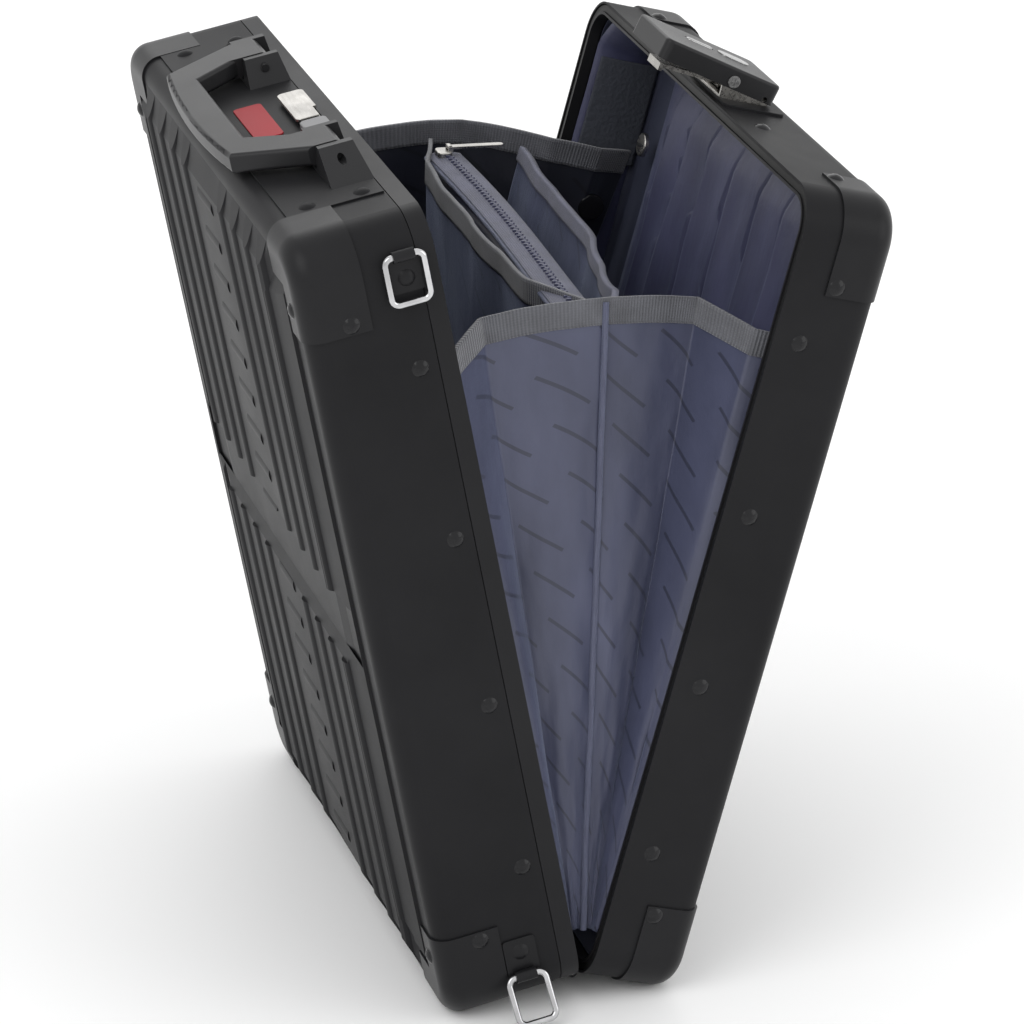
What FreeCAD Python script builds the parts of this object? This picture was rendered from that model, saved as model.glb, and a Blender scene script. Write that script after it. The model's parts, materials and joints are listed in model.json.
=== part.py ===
import FreeCAD, Part
import math
import os
import Sketcher
from FreeCAD import Placement, Rotation, Vector

# Aluminium attache case, standing open in a V on its two lower outer edges.
# Row frame: +Y along the hinge, +Z up from the floor, X across the opening.
# Each half is drawn in a frame of its own whose origin is the hinge axis: local Z runs up
# the half, the base half lies on the local -X side and the lid on the +X side.
# "Depth" is measured from the parting plane, "height" from the hinge wall.

doc = FreeCAD.newDocument("attache_case")
sheet = doc.addObject("Spreadsheet::Sheet", "dims")

DRIVING = {
    "case_length": 366.0,
    "case_height": 430.0,
    "base_depth": 71.0,
    "lid_depth": 49.0,
    "corner_radius": 22.0,
    "edge_radius": 10.0,
    "wall": 1.2,
    "panel_wall": 2.4,
    "opening_angle": 26.0,
    "rim_gap": 0.2,
    "fit_gap": 0.3,
    # frames and seal
    "lip_depth": 9.4,
    "lip_width": 4.4,
    "seam": 0.5,
    "skirt_wall": 1.6,
    "skirt_depth": 17.0,
    "lid_frame_width": 7.0,
    "lid_frame_depth": 4.0,
    "seal_inset": 0.6,
    "seal_width": 3.6,
    "seal_recess": 0.8,
    # panels
    "crown": 4.0,
    "crown_clear": 1.5,
    "crown_slope": 36.0,
    "crown_slope_up": 14.0,
    "middle_clear": 2.0,
    "middle_margin_up": 11.0,
    "rib_height": 1.7,
    "rib_radius": 8.0,
    "rib_pitch": 27.6,
    "rib_first": 40.0,
    "rib_count": 5.0,
    "rung_length": 30.0,
    "rung_radius": 8.0,
    "rung_height": 0.8,
    "rung_pitch": 21.4,
    "rung_first": 34.0,
    "rung_count": 18.0,
    "recess_half_length": 157.0,
    "recess_low": 187.0,
    "recess_high": 228.0,
    "recess_drop": 2.6,
    "recess_slope": 8.0,
    # corner caps
    "cap_wall": 1.2,
    "cap_along": 44.0,
    "cap_up": 49.0,
    "cap_flange": 24.0,
    "base_cap_start": 38.0,
    "lid_cap_start": 20.0,
    # hinge
    "knuckle_radius": 2.6,
    "pin_radius": 1.2,
    "pin_clearance": 0.05,
    "leaf_wall": 1.2,
    "leaf_width": 20.0,
    "hinge_length": 320.0,
    "knuckle_count": 11.0,
    "knuckle_gap": 0.3,
    # rivets
    "rivet_radius": 4.35,
    "rivet_dome": 1.8,
    "shank_radius": 1.9,
    "shank_clearance": 0.1,
    "rivet_pitch": 92.5,
    "rivet_first": 77.0,
    "base_rivet_depth": 19.0,
    "lid_rivet_depth": 14.5,
    # handle
    "plate_wall": 1.0,
    "plate_start": 10.6,
    "plate_end": 60.0,
    "pivot_depth": 21.0,
    "pivot_height": 8.2,
    "bracket_start": 10.0,
    "bracket_end": 32.0,
    "bracket_height": 13.0,
    "bracket_inner": 50.0,
    "bracket_outer": 119.0,
    "ear_inner": 60.0,
    "ear_outer": 94.0,
    "arm_inner": 64.4,
    "arm_outer": 89.0,
    "arm_boss": 5.4,
    "arm_thick": 10.4,
    "grip_corner": 70.0,
    "grip_inner_corner": 50.0,
    "grip_start": 57.0,
    "grip_end": 70.0,
    "grip_bow": 4.5,
    "handle_pin_radius": 2.0,
    # strike side of the latch
    "strike_depth": 13.0,
    "strike_half_length": 22.0,
    "strike_wall": 1.4,
    "strike_rise": 2.6,
    "badge_length": 52.0,
    "badge_width": 15.0,
    "badge_wall": 0.8,
    "badge_depth": 40.0,
    # latch
    "latch_half_width": 25.0,
    "latch_reach": 36.0,
    "latch_pivot_depth": 27.0,
    "latch_pivot_height": 6.4,
    "latch_open_angle": 12.0,
    "cover_thick": 11.0,
    "cover_wall": 1.6,
    "cover_clear": 7.4,
    "latch_pin_radius": 1.5,
    "hook_pivot_depth": 9.0,
    "hook_pivot_height": 5.0,
    "hook_reach": 35.6,
    # loops for the carrying strap
    "ring_wire": 1.7,
    "ring_width": 23.0,
    "ring_height": 28.0,
    "ring_corner": 5.6,
    "loop_wall": 1.2,
    "loop_length": 11.0,
    "loop_clearance": 0.08,
    "tab_width": 17.0,
    "tab_height": 20.0,
    "tab_wall": 1.2,
    "top_ring_depth": 17.0,
    "top_ring_height": 415.0,
    "low_ring_depth": 29.0,
    "low_ring_height": 19.0,
    "low_ring_lean": 25.0,
    "ring_stand_off": 0.6,
    # soft parts
    "liner_wall": 0.8,
    "liner_start": 1.0,
    "cloth": 1.0,
    "gusset_height": 352.0,
    "gusset_low": 26.0,
    "gusset_inset": 9.0,
    "pouch_thick": 20.0,
    "pouch_top": 345.0,
    "pouch_low": 70.0,
    "divider_gap": 1.5,
    "divider_near": 118.0,
    "divider_far": 146.0,
    "base_sheet_tilt": 1.2,
    "lid_sheet_tilt": 3.7,
    "pocket_thick": 9.0,
    "pocket_margin": 14.0,
    "pocket_drop": 58.0,
    "pull_eye": 1.4,
}
for row, (alias, value) in enumerate(DRIVING.items(), start=1):
    sheet.set("A%d" % row, alias)
    sheet.set("B%d" % row, str(value))
    sheet.setAlias("B%d" % row, alias)
doc.recompute()


def size(alias):
    return float(getattr(sheet, alias))


def bound(text):
    """An expression over the sheet: every driving name in it is read from its cell."""
    words = sorted(DRIVING, key=len, reverse=True)
    out, i = "", 0
    while i < len(text):
        word = next((w for w in words if text.startswith(w, i)), None)
        if word and not (i and (text[i - 1].isalnum() or text[i - 1] == "_")):
            out += "dims." + word
            i += len(word)
        else:
            out += text[i]
            i += 1
    return out


def bind(obj, **expressions):
    for prop, text in expressions.items():
        obj.setExpression(prop.replace("__", "."), bound(str(text)))


# ---------------------------------------------------------------- stance of the two halves

HINGE_DROP = "(knuckle_radius + fit_gap)"
hinge_drop = size("knuckle_radius") + size("fit_gap")
opening = math.radians(size("opening_angle"))
low_arm = size("edge_radius") + hinge_drop
base_arm = size("base_depth") - size("edge_radius")
lid_arm = size("lid_depth") - size("edge_radius")
# Both lower outer edges touch the floor at this lean of the base half.
base_lean = math.atan2(
    lid_arm * math.sin(opening) + low_arm * (1 - math.cos(opening)),
    base_arm + lid_arm * math.cos(opening) + low_arm * math.sin(opening),
)
lid_lean = opening - base_lean
hinge_height = (
    base_arm * math.sin(base_lean)
    - low_arm * math.cos(base_lean)
    + size("edge_radius")
    + size("cap_wall")
)
AXIS_Y = Vector(0, 1, 0)


def stance(angle, hinge_x=0.0):
    return Placement(Vector(hinge_x, 0, hinge_height), Rotation(AXIS_Y, math.degrees(angle)))


middle_lean = (lid_lean - base_lean) / 2
LEAN = {
    "base": -base_lean,
    "lid": lid_lean,
    "divider": middle_lean,
    "sheet_base": middle_lean - math.radians(size("base_sheet_tilt")),
    "sheet_lid": middle_lean + math.radians(size("lid_sheet_tilt")),
}
SIDE = {"base": -1, "lid": 1}
nodes = {}  # label -> (object, half, local placement)


def keep(obj, label, half, local=None):
    """Names a finished sub-part and notes the half that it stands in."""
    if obj.TypeId in ("Part::Box", "Part::Cylinder"):
        # A bare primitive is already placed within its half, so a group takes the stance.
        group = doc.addObject("Part::Compound", label)
        group.Links = [obj]
        obj = group
    obj.Label = label
    nodes[label] = (obj, half, local or Placement())
    return obj


# ---------------------------------------------------------------- building blocks


def box(name, half, d, y, u):
    """A block between two depths, two places along the hinge and two heights."""
    b = doc.addObject("Part::Box", name)
    start = "-(%s)" % d[1] if half == "base" else d[0]
    bind(b, Length="(%s) - (%s)" % (d[1], d[0]), Width="(%s) - (%s)" % (y[1], y[0]))
    bind(b, Height="(%s) - (%s)" % (u[1], u[0]), Placement__Base__x=start, Placement__Base__y=y[0])
    bind(b, Placement__Base__z="%s + %s" % (u[0], HINGE_DROP))
    return b


def signed(half, text):
    return "-(%s)" % text if half == "base" else str(text)


def rod_y(name, half, radius, d, u, y, drop=HINGE_DROP):
    """A round bar along the hinge direction."""
    c = doc.addObject("Part::Cylinder", name)
    c.Placement = Placement(Vector(), Rotation(Vector(1, 0, 0), -90))
    bind(c, Radius=radius, Height="(%s) - (%s)" % (y[1], y[0]), Placement__Base__y=y[0])
    bind(c, Placement__Base__x=signed(half, d), Placement__Base__z="%s + %s" % (u, drop))
    return c


def rod_u(name, half, radius, d, y, u):
    """A round bar that runs up the half."""
    c = doc.addObject("Part::Cylinder", name)
    bind(c, Radius=radius, Height="(%s) - (%s)" % (u[1], u[0]), Placement__Base__y=y)
    bind(c, Placement__Base__x=signed(half, d), Placement__Base__z="%s + %s" % (u[0], HINGE_DROP))
    return c


def fuse(name, shapes):
    f = doc.addObject("Part::MultiFuse", name)
    f.Shapes = shapes
    return f


def cut(name, base, tool):
    c = doc.addObject("Part::Cut", name)
    c.Base = base
    c.Tool = tool
    return c


def common(name, a, b):
    c = doc.addObject("Part::MultiCommon", name)
    c.Shapes = [a, b]
    return c


def origin_plane(body, role):
    return next(f for f in body.Origin.OriginFeatures if f.Role == role)


def rounded_rect(sketch, width, height, radius, centre=("0", "0"), tag=""):
    """Adds a rounded rectangle whose sizes and centre follow the sheet."""
    w, h, r = 40.0, 30.0, 5.0
    x0, x1, y0, y1 = -w / 2, w / 2, -h / 2, h / 2
    first = sketch.GeometryCount
    spans = [((x0 + r, y0), (x1 - r, y0)), ((x1, y0 + r), (x1, y1 - r))]
    spans += [((x1 - r, y1), (x0 + r, y1)), ((x0, y1 - r), (x0, y0 + r))]
    corners = [(x1 - r, y0 + r, -90), (x1 - r, y1 - r, 0), (x0 + r, y1 - r, 90), (x0 + r, y0 + r, 180)]
    for (a, b), (cx, cy, turn) in zip(spans, corners):
        sketch.addGeometry(Part.LineSegment(Vector(*a, 0), Vector(*b, 0)))
        circle = Part.Circle(Vector(cx, cy, 0), Vector(0, 0, 1), r)
        sketch.addGeometry(Part.ArcOfCircle(circle, math.radians(turn), math.radians(turn + 90)))
    lines = [first + 2 * k for k in range(4)]
    arcs = [first + 2 * k + 1 for k in range(4)]
    add = sketch.addConstraint
    for k in range(4):
        add(Sketcher.Constraint("Tangent", lines[k], 2, arcs[k], 1))
        add(Sketcher.Constraint("Tangent", arcs[k], 2, lines[(k + 1) % 4], 1))
    add(Sketcher.Constraint("Horizontal", lines[0]))
    add(Sketcher.Constraint("Horizontal", lines[2]))
    add(Sketcher.Constraint("Vertical", lines[1]))
    add(Sketcher.Constraint("Vertical", lines[3]))
    for k in (1, 2, 3):
        add(Sketcher.Constraint("Equal", arcs[0], arcs[k]))
    named = {
        "radius": (Sketcher.Constraint("Radius", arcs[0], r), radius),
        "width": (Sketcher.Constraint("DistanceX", lines[3], 1, lines[1], 1, w), width),
        "height": (Sketcher.Constraint("DistanceY", lines[0], 1, lines[2], 1, h), height),
        "left": (Sketcher.Constraint("DistanceX", -1, 1, lines[3], 1, x0), None),
        "low": (Sketcher.Constraint("DistanceY", -1, 1, lines[0], 1, y0), None),
    }
    for word, (constraint, text) in named.items():
        index = add(constraint)
        sketch.renameConstraint(index, word + tag)
        if word == "left":
            text = "(%s) - (%s) / 2" % (centre[0], width)
        if word == "low":
            text = "(%s) - (%s) / 2" % (centre[1], height)
        sketch.setExpression("Constraints." + word + tag, bound(str(text)))


def new_sketch(body, role, offset="0"):
    sketch = body.newObject("Sketcher::SketchObject", body.Name + "_sketch")
    sketch.AttachmentSupport = [(origin_plane(body, role), "")]
    sketch.MapMode = "FlatFace"
    sketch.setExpression("AttachmentOffset.Base.z", bound(str(offset)))
    return sketch


def half_outline(body, half, inset, start, tag="", sketch=None):
    """The outline of a half seen along its depth, drawn inwards by an inset."""
    sketch = sketch or new_sketch(body, "YZ_Plane", signed(half, start))
    rounded_rect(
        sketch,
        "case_length - 2 * (%s)" % inset,
        "case_height - 2 * (%s)" % inset,
        "corner_radius - (%s)" % inset,
        ("0", "case_height / 2 + " + HINGE_DROP),
        tag,
    )
    return sketch


def pad(body, sketch, length, half="lid", kind="PartDesign::Pad"):
    feature = body.newObject(kind, body.Name + "_" + kind.split("::")[1].lower())
    feature.Profile = sketch
    bind(feature, Length=length)
    feature.Reversed = (half == "base") != (kind == "PartDesign::Pocket")
    return feature


def round_edges(body, radius, chosen):
    """Rounds the edges that the test chooses on the body as it is so far."""
    doc.recompute()
    tip = body.Tip
    names = [
        "Edge%d" % (i + 1)
        for i, edge in enumerate(tip.Shape.Edges)
        if chosen([v.Point for v in edge.Vertexes] + [edge.CenterOfMass])
    ]
    fillet = body.newObject("PartDesign::Fillet", body.Name + "_fillet")
    fillet.Base = (tip, names)
    bind(fillet, Radius=radius)
    return fillet


def at_x(value):
    return lambda points: all(abs(p.x - value) < 1e-3 for p in points)


def at_z(value):
    return lambda points: all(abs(p.z - value) < 1e-3 for p in points)


def new_body(name):
    return doc.addObject("PartDesign::Body", name)


def ring_body(name, half, outer, inner, start, depth):
    """A ring that follows the outline of a half between two insets."""
    body = new_body(name)
    sketch = half_outline(body, half, outer, start, "_out")
    half_outline(body, half, inner, start, "_in", sketch)
    pad(body, sketch, depth, half)
    return body


def tray_body(name, half, inset, start, floor, radius):
    """A solid tray shape: the outline of a half run out to a floor with a rounded rim."""
    body = new_body(name)
    pad(body, half_outline(body, half, inset, start), "(%s) - (%s)" % (floor, start), half)
    round_edges(body, radius, at_x(value_of(floor) * SIDE[half]))
    return body


def pan(name, half, inset, start, floor, radius, wall, floor_wall):
    """A pan open at the parting plane: one tray shape less a smaller one."""
    outer = tray_body(name + "_outer", half, inset, start, floor, radius)
    inner = tray_body(name + "_inner", half, "(%s) + (%s)" % (inset, wall), "(%s) - 1" % start,
                      "(%s) - (%s)" % (floor, floor_wall), "(%s) - (%s)" % (radius, wall))
    return cut(name, outer, inner)


def value_of(text):
    """A number for an expression over the sheet, for choosing edges."""
    probe = value_of.probe
    probe.setExpression("Placement.Base.x", bound(str(text)))
    probe.recompute()
    return probe.Placement.Base.x


value_of.probe = doc.addObject("App::FeaturePython", "probe")
value_of.probe.addProperty("App::PropertyPlacement", "Placement")


def plate(name, width, height, radius, thickness, edge=None):
    """A rounded plate on the XY plane, its upper rim eased when an edge radius is given."""
    body = new_body(name)
    sketch = new_sketch(body, "XY_Plane")
    rounded_rect(sketch, width, height, radius)
    pad(body, sketch, thickness)
    if edge:
        doc.recompute()
        top = value_of(thickness)
        round_edges(body, edge, at_z(top))
    return body


def lay(d, y, u, half, turn=None):
    """A local placement given by depth, place along the hinge and height."""
    return Placement(Vector(SIDE[half] * d, y, u + hinge_drop), turn or Rotation())


FACE_END = {1: Rotation(Vector(1, 0, 0), -90), -1: Rotation(Vector(1, 0, 0), 90)}

# ---------------------------------------------------------------- rivets

HALF_LENGTH = size("case_length") / 2
HEIGHT = size("case_height")
CAP_Y = HALF_LENGTH - size("cap_along")


GRIP = size("wall") + size("skirt_wall") + 0.1  # what a frame rivet passes through


def rivet_shape(shank):
    """A domed head and its shank, head outwards along +Z from the origin."""
    r, dome = size("rivet_radius"), size("rivet_dome")
    ball = (r * r + dome * dome) / (2 * dome)
    head = Part.makeSphere(ball, Vector(0, 0, dome - ball), Vector(0, 0, 1))
    head = head.common(Part.makeCylinder(r * 1.05, dome, Vector()))
    stem = Part.makeCylinder(size("shank_radius"), shank, Vector(), Vector(0, 0, -1))
    return head.fuse(stem).removeSplitter()


def rivet_hole():
    reach = 3 * GRIP
    radius = size("shank_radius") + size("shank_clearance")
    return Part.makeCylinder(radius, 2 * reach, Vector(0, 0, -reach))


NORMAL_TURN = {
    "end_near": Rotation(Vector(0, 0, 1), Vector(0, -1, 0)),
    "end_far": Rotation(Vector(0, 0, 1), Vector(0, 1, 0)),
    "top": Rotation(),
    "foot": Rotation(Vector(0, 0, 1), Vector(0, 0, -1)),
    "panel_base": Rotation(Vector(0, 0, 1), Vector(-1, 0, 0)),
    "panel_lid": Rotation(Vector(0, 0, 1), Vector(1, 0, 0)),
}


def wall_spots(half, depth, along=(), up=(), proud=0.0, foot=()):
    """Rivet places: up the end walls, and along the handle wall and the hinge wall."""
    spots = []
    for face, y in (("end_near", -HALF_LENGTH - proud), ("end_far", HALF_LENGTH + proud)):
        spots += [lay(depth, y, u, half, NORMAL_TURN[face]) for u in up]
    spots += [lay(depth, y, HEIGHT + proud, half, NORMAL_TURN["top"]) for y in along]
    spots += [lay(depth, y, -proud, half, NORMAL_TURN["foot"]) for y in foot]
    return spots


def cap_spots(half):
    """Rivets of the corner caps: end wall, hinge wall, panel, and on the lid the latch wall."""
    start = size(half + "_cap_start")
    depth = start + (10.0 if half == "base" else 5.0)
    rise = size("cap_wall")
    low, high = size("cap_up") - 5.0, HEIGHT - size("cap_up") + 5.0
    spots = wall_spots(half, depth, up=(low, high), proud=rise)
    y_in = CAP_Y + 6.0
    for y in (-y_in, y_in):
        if half == "lid":
            spots.append(lay(depth, y, HEIGHT + rise, half, NORMAL_TURN["top"]))
        spots.append(lay(depth, y, -rise, half, NORMAL_TURN["foot"]))
        for u in (size("cap_up") - 14.0, HEIGHT - size("cap_up") + 14.0):
            reach = math.copysign(HALF_LENGTH - size("cap_flange") + 8.0, y)
            panel = size(half + "_depth") + rise
            spots.append(lay(panel, reach, u, half, NORMAL_TURN["panel_" + half]))
    return spots


RIVET_ROWS = [size("rivet_first") + k * size("rivet_pitch") for k in range(4)]
LEAF_RIVETS = [k * size("hinge_length") / 6 for k in (-2.5, -1.5, -0.5, 0.5, 1.5, 2.5)]
PLATE_RIVET_Y = CAP_Y - 7.0
LID_TOP_RIVETS = (-(size("latch_half_width") + 37.0), size("latch_half_width") + 37.0)

# Strap loops: side of the case, depth and height of the loop, and where its tab lies from it.
RING_PLACES = {
    "near_top": (-1, size("top_ring_depth"), size("top_ring_height"), -1),
    "far_top": (1, size("top_ring_depth"), size("top_ring_height"), -1),
    "near_low": (-1, size("low_ring_depth"), size("low_ring_height"), 1),
    "far_low": (1, size("low_ring_depth"), size("low_ring_height"), 1),
}
loop_outer = size("ring_wire") + size("loop_clearance") + size("loop_wall")
ring_out = loop_outer + size("ring_stand_off")
# Local X of a tab runs along the depth, its Y up the half and its Z out of the end wall.
FACE_TAB = {
    -1: Rotation(Vector(1, 0, 0), 90),
    1: Rotation(Vector(0, 0, 1), 180).multiply(Rotation(Vector(1, 0, 0), 90)),
}
TAB_RIVET = Vector(0, 12.5, size("tab_wall"))


def tab_place(label):
    y_sign, depth, height, _ = RING_PLACES[label]
    return lay(depth, y_sign * HALF_LENGTH, height, "base", FACE_TAB[y_sign])


def tab_rivet_place(label):
    above = RING_PLACES[label][3]
    return tab_place(label).multiply(Placement(Vector(0, above * TAB_RIVET.y, TAB_RIVET.z), Rotation()))


spots = {
    "ring_tab_rivets": [tab_rivet_place(label) for label in RING_PLACES],
    "base_frame_rivets": wall_spots("base", size("base_rivet_depth"), up=RIVET_ROWS),
    "lid_frame_rivets": wall_spots("lid", size("lid_rivet_depth"), LID_TOP_RIVETS, RIVET_ROWS),
    "base_cap_rivets": cap_spots("base"),
    "lid_cap_rivets": cap_spots("lid"),
    "base_hinge_rivets": wall_spots("base", 13.0, foot=LEAF_RIVETS, proud=size("leaf_wall")),
    "lid_hinge_rivets": wall_spots("lid", 13.0, foot=LEAF_RIVETS, proud=size("leaf_wall")),
    "handle_plate_rivets": [
        lay(d, y, HEIGHT + size("plate_wall"), "base")
        for d in (20.0, 48.0)
        for y in (-PLATE_RIVET_Y, PLATE_RIVET_Y)
    ],
}


def feature(name, shape):
    f = doc.addObject("Part::Feature", name)
    f.Shape = shape
    return f


def copies(shape, places):
    return Part.makeCompound([shape.transformed(p.toMatrix()) for p in places])


def holes_for(name, *groups):
    """The drilled holes of the rivets that pass through a piece."""
    return feature(name, copies(rivet_hole(), [p for g in groups for p in spots[g]]))


SHANKS = {
    "base_frame_rivets": GRIP,
    "lid_frame_rivets": GRIP,
    "base_cap_rivets": size("cap_wall") + size("panel_wall"),
    "lid_cap_rivets": size("cap_wall") + size("panel_wall"),
    "base_hinge_rivets": size("leaf_wall") + GRIP,
    "lid_hinge_rivets": size("leaf_wall") + GRIP,
    "handle_plate_rivets": size("plate_wall") + GRIP,
    "ring_tab_rivets": size("tab_wall") + GRIP,
}
for label, places in spots.items():
    half = label.split("_")[0] if label.split("_")[0] in SIDE else "base"
    keep(feature(label + "_set", copies(rivet_shape(SHANKS[label]), places)), label, half)

RIVETED = {
    "base": ("base_frame_rivets", "base_cap_rivets", "base_hinge_rivets", "handle_plate_rivets",
             "ring_tab_rivets"),
    "lid": ("lid_frame_rivets", "lid_cap_rivets", "lid_hinge_rivets"),
}


# ---------------------------------------------------------------- shells


def frustum(name, half, start, rise, margin, slope, margin_up, slope_up):
    """A flat-topped swelling on a panel; margins and slopes along the hinge and up the half."""
    w = doc.addObject("Part::Wedge", name)
    turn = Rotation(Vector(0, 0, 1), 90 if half == "base" else -90)
    w.Placement = Placement(Vector(), turn)
    half_y = "(case_length / 2 - (%s))" % margin
    top_y = "(case_length / 2 - (%s) - (%s))" % (margin, slope)
    low_z, high_z = "(%s)" % margin_up, "(case_height - (%s))" % margin_up
    bind(w, Xmin="-" + half_y, Xmax=half_y, Ymin=0, Ymax=rise, Zmin=low_z, Zmax=high_z)
    bind(w, X2min="-" + top_y, X2max=top_y)
    bind(w, Z2min="%s + (%s)" % (low_z, slope_up), Z2max="%s - (%s)" % (high_z, slope_up))
    bind(w, Placement__Base__x=signed(half, start), Placement__Base__z=HINGE_DROP)
    return w


def swelling(name, half, shift):
    """The panel's crown, raised or lowered by a shift with its slopes kept parallel."""
    slide = "(crown_slope * (%s) / crown)" % shift
    slide_up = "(crown_slope_up * (%s) / crown)" % shift
    whole = "(crown + panel_wall + (%s))" % shift
    return frustum(name, half, "%s_depth - panel_wall" % half, whole,
                   "(cap_flange + crown_clear) - %s - crown_slope * panel_wall / crown" % slide,
                   "crown_slope * %s / crown" % whole,
                   "(cap_flange + crown_clear) - %s - crown_slope_up * panel_wall / crown" % slide_up,
                   "crown_slope_up * %s / crown" % whole)


def ribs(half):
    """Upright pressed ridges on the panel, cut to the swelling so that they fade at its rim."""
    depth = half + "_depth"
    bars = []
    for side in (-1, 1):
        for k in range(int(size("rib_count"))):
            y = "%d * (rib_first + %d * rib_pitch)" % (side, k)
            crest = "%s + crown + rib_height - rib_radius" % depth
            span = ("middle_margin_up", "case_height - middle_margin_up")
            bars.append(rod_u("%s_rib" % half, half, "rib_radius", crest, y, span))
    for k in range(int(size("rung_count"))):
        middle = "(rung_first + %d * rung_pitch)" % k
        crest = "%s + crown + rung_height - rung_radius" % depth
        y = ("-rung_length / 2", "rung_length / 2")
        bars.append(rod_y(half + "_rung", half, "rung_radius", crest, middle, y))
    whole = "(crown + rib_height)"
    fade, fade_up = ("%s * rib_height / crown" % s for s in ("crown_slope", "crown_slope_up"))
    run, run_up = ("%s * %s / crown" % (s, whole) for s in ("crown_slope", "crown_slope_up"))
    limit = [frustum(half + "_rib_limit", half, depth, whole, "(cap_flange + crown_clear) - " + fade, run,
                     "(cap_flange + crown_clear)", "crown_slope_up"),
             frustum(half + "_middle_rib_limit", half, depth, whole, "cap_along + middle_clear - " + fade_up,
                     run_up, "middle_margin_up", "crown_slope_up")]
    flange = "(case_length / 2 - cap_flange - fit_gap)"
    clear = box(half + "_between_flanges", half, (depth + " - 1", depth + " + crown + rib_height"),
                ("-" + flange, flange), ("0", "case_height"))
    kept = common(half + "_kept_bars", fuse(half + "_bars", bars), clear)
    return common(half + "_ridges", kept, fuse(half + "_limits", limit))


def band(half):
    """The pressed-in band across the panel: a step at its upper edge, a slope at its lower one."""
    depth = half + "_depth"
    block = box(half + "_band_block", half, (depth, depth + " + 20"),
                ("-recess_half_length", "recess_half_length"), ("recess_low", "recess_high"))
    ramp = doc.addObject("Part::Wedge", half + "_band_ramp")
    ramp.Placement = Placement(Vector(), Rotation(Vector(0, 0, 1), 90 if half == "base" else -90))
    long = "(case_length / 2)"
    bind(ramp, Xmin="-" + long, Xmax=long, X2min="-" + long, X2max=long)
    bind(ramp, Ymin=0, Ymax="recess_drop")
    bind(ramp, Zmin="recess_low - 1", Z2min="recess_low - 1", Zmax="recess_low + recess_slope",
         Z2max="recess_low")
    bind(ramp, Placement__Base__x=signed(half, depth + " + crown - recess_drop"),
         Placement__Base__z=HINGE_DROP)
    bed = swelling(half + "_band_bed", half, "-recess_drop")
    return cut(half + "_band", block, fuse(half + "_band_left", [bed, ramp]))


def shell(half, start):
    depth = half + "_depth"
    outside = [pan(half + "_pan", half, "0", start, depth, "edge_radius", "wall", "panel_wall")]
    outside.append(frustum(half + "_crown", half, depth, "crown", "(cap_flange + crown_clear)", "crown_slope",
                           "(cap_flange + crown_clear)", "crown_slope_up"))
    outside.append(frustum(half + "_middle_crown", half, depth, "crown", "cap_along + middle_clear",
                           "crown_slope_up", "middle_margin_up", "crown_slope_up"))
    outside.append(ribs(half))
    behind = box(half + "_behind_band", half,
                 (depth + " + crown - recess_drop - panel_wall", depth + " + crown"),
                 ("-recess_half_length - panel_wall", "recess_half_length + panel_wall"),
                 ("recess_low - panel_wall", "recess_high + panel_wall"))
    inside = [cut(half + "_crown_hollow", swelling(half + "_crown_inside", half, "-panel_wall"), behind)]
    inside.append(band(half))
    inside.append(holes_for(half + "_shell_holes", *RIVETED[half]))
    whole = fuse(half + "_shell_outside", outside)
    keep(cut(half + "_shell_cut", whole, fuse(half + "_shell_tools", inside)), half + "_shell", half)


shell("base", "lip_depth + seam")
shell("lid", "rim_gap")


# ---------------------------------------------------------------- frames, seal and caps

lip = ring_body("base_lip", "base", "0", "lip_width", "rim_gap", "lip_depth - rim_gap")
skirt = ring_body("base_skirt", "base", "wall", "wall + skirt_wall", "lip_depth - 1", "skirt_depth + 1")
base_frame = fuse("base_frame_ring", [lip, skirt])
base_frame = cut("base_frame_cut", base_frame,
                 holes_for("base_frame_holes", "base_frame_rivets", "base_hinge_rivets",
                           "handle_plate_rivets", "ring_tab_rivets"))
keep(base_frame, "base_frame", "base")

seat_start = "rim_gap + lid_frame_depth"
seat = ring_body("lid_seat", "lid", "wall", "lid_frame_width", seat_start, "2")
skirt = ring_body("lid_skirt", "lid", "wall", "wall + skirt_wall", seat_start, "skirt_depth")
tongue = ring_body("lid_tongue", "lid", "lid_frame_width - 1.4", "lid_frame_width", "rim_gap",
                   "lid_frame_depth + 1")
lid_frame = cut("lid_frame_cut", fuse("lid_frame_ring", [seat, skirt, tongue]),
                holes_for("lid_frame_holes", "lid_frame_rivets", "lid_hinge_rivets"))
keep(lid_frame, "lid_frame", "lid")

seal_inset = "wall + seal_inset"
seal = ring_body("lid_seal", "lid", seal_inset, seal_inset + " + seal_width",
                 "rim_gap + seal_recess", "lid_frame_depth - seal_recess")
keep(seal, "lid_seal", "lid")


def corner_cap(half, label, y_sign, upper):
    """A pressed cap that wraps one outer corner of a half, with a flange on the panel."""
    depth, start = half + "_depth", half + "_cap_start"
    grown = tray_body(label + "_outside", half, "-cap_wall", start, depth + " + cap_wall",
                      "edge_radius + cap_wall")
    core = tray_body(label + "_core", half, "0", "%s - 1" % start, depth, "edge_radius")
    along = ("case_length / 2 - cap_along", "case_length / 2 + 5")
    if y_sign < 0:
        along = ("-case_length / 2 - 5", "-(case_length / 2 - cap_along)")
    up = ("case_height - cap_up", "case_height + 5") if upper else ("-5", "cap_up")
    region = box(label + "_region", half, (start, depth + " + 5"), along, up)
    clear_y = ("-(case_length / 2 - cap_flange)", "case_length / 2 - cap_flange")
    clear_u = ("0 + cap_flange", "case_height - cap_flange")
    window = box(label + "_window", half, (depth + " - 0.2", depth + " + 5"), clear_y, clear_u)
    holes = holes_for(label + "_holes", half + "_cap_rivets")
    piece = common(label + "_piece", grown, region)
    keep(cut(label + "_cut", piece, fuse(label + "_tools", [core, window, holes])), label, half)


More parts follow.
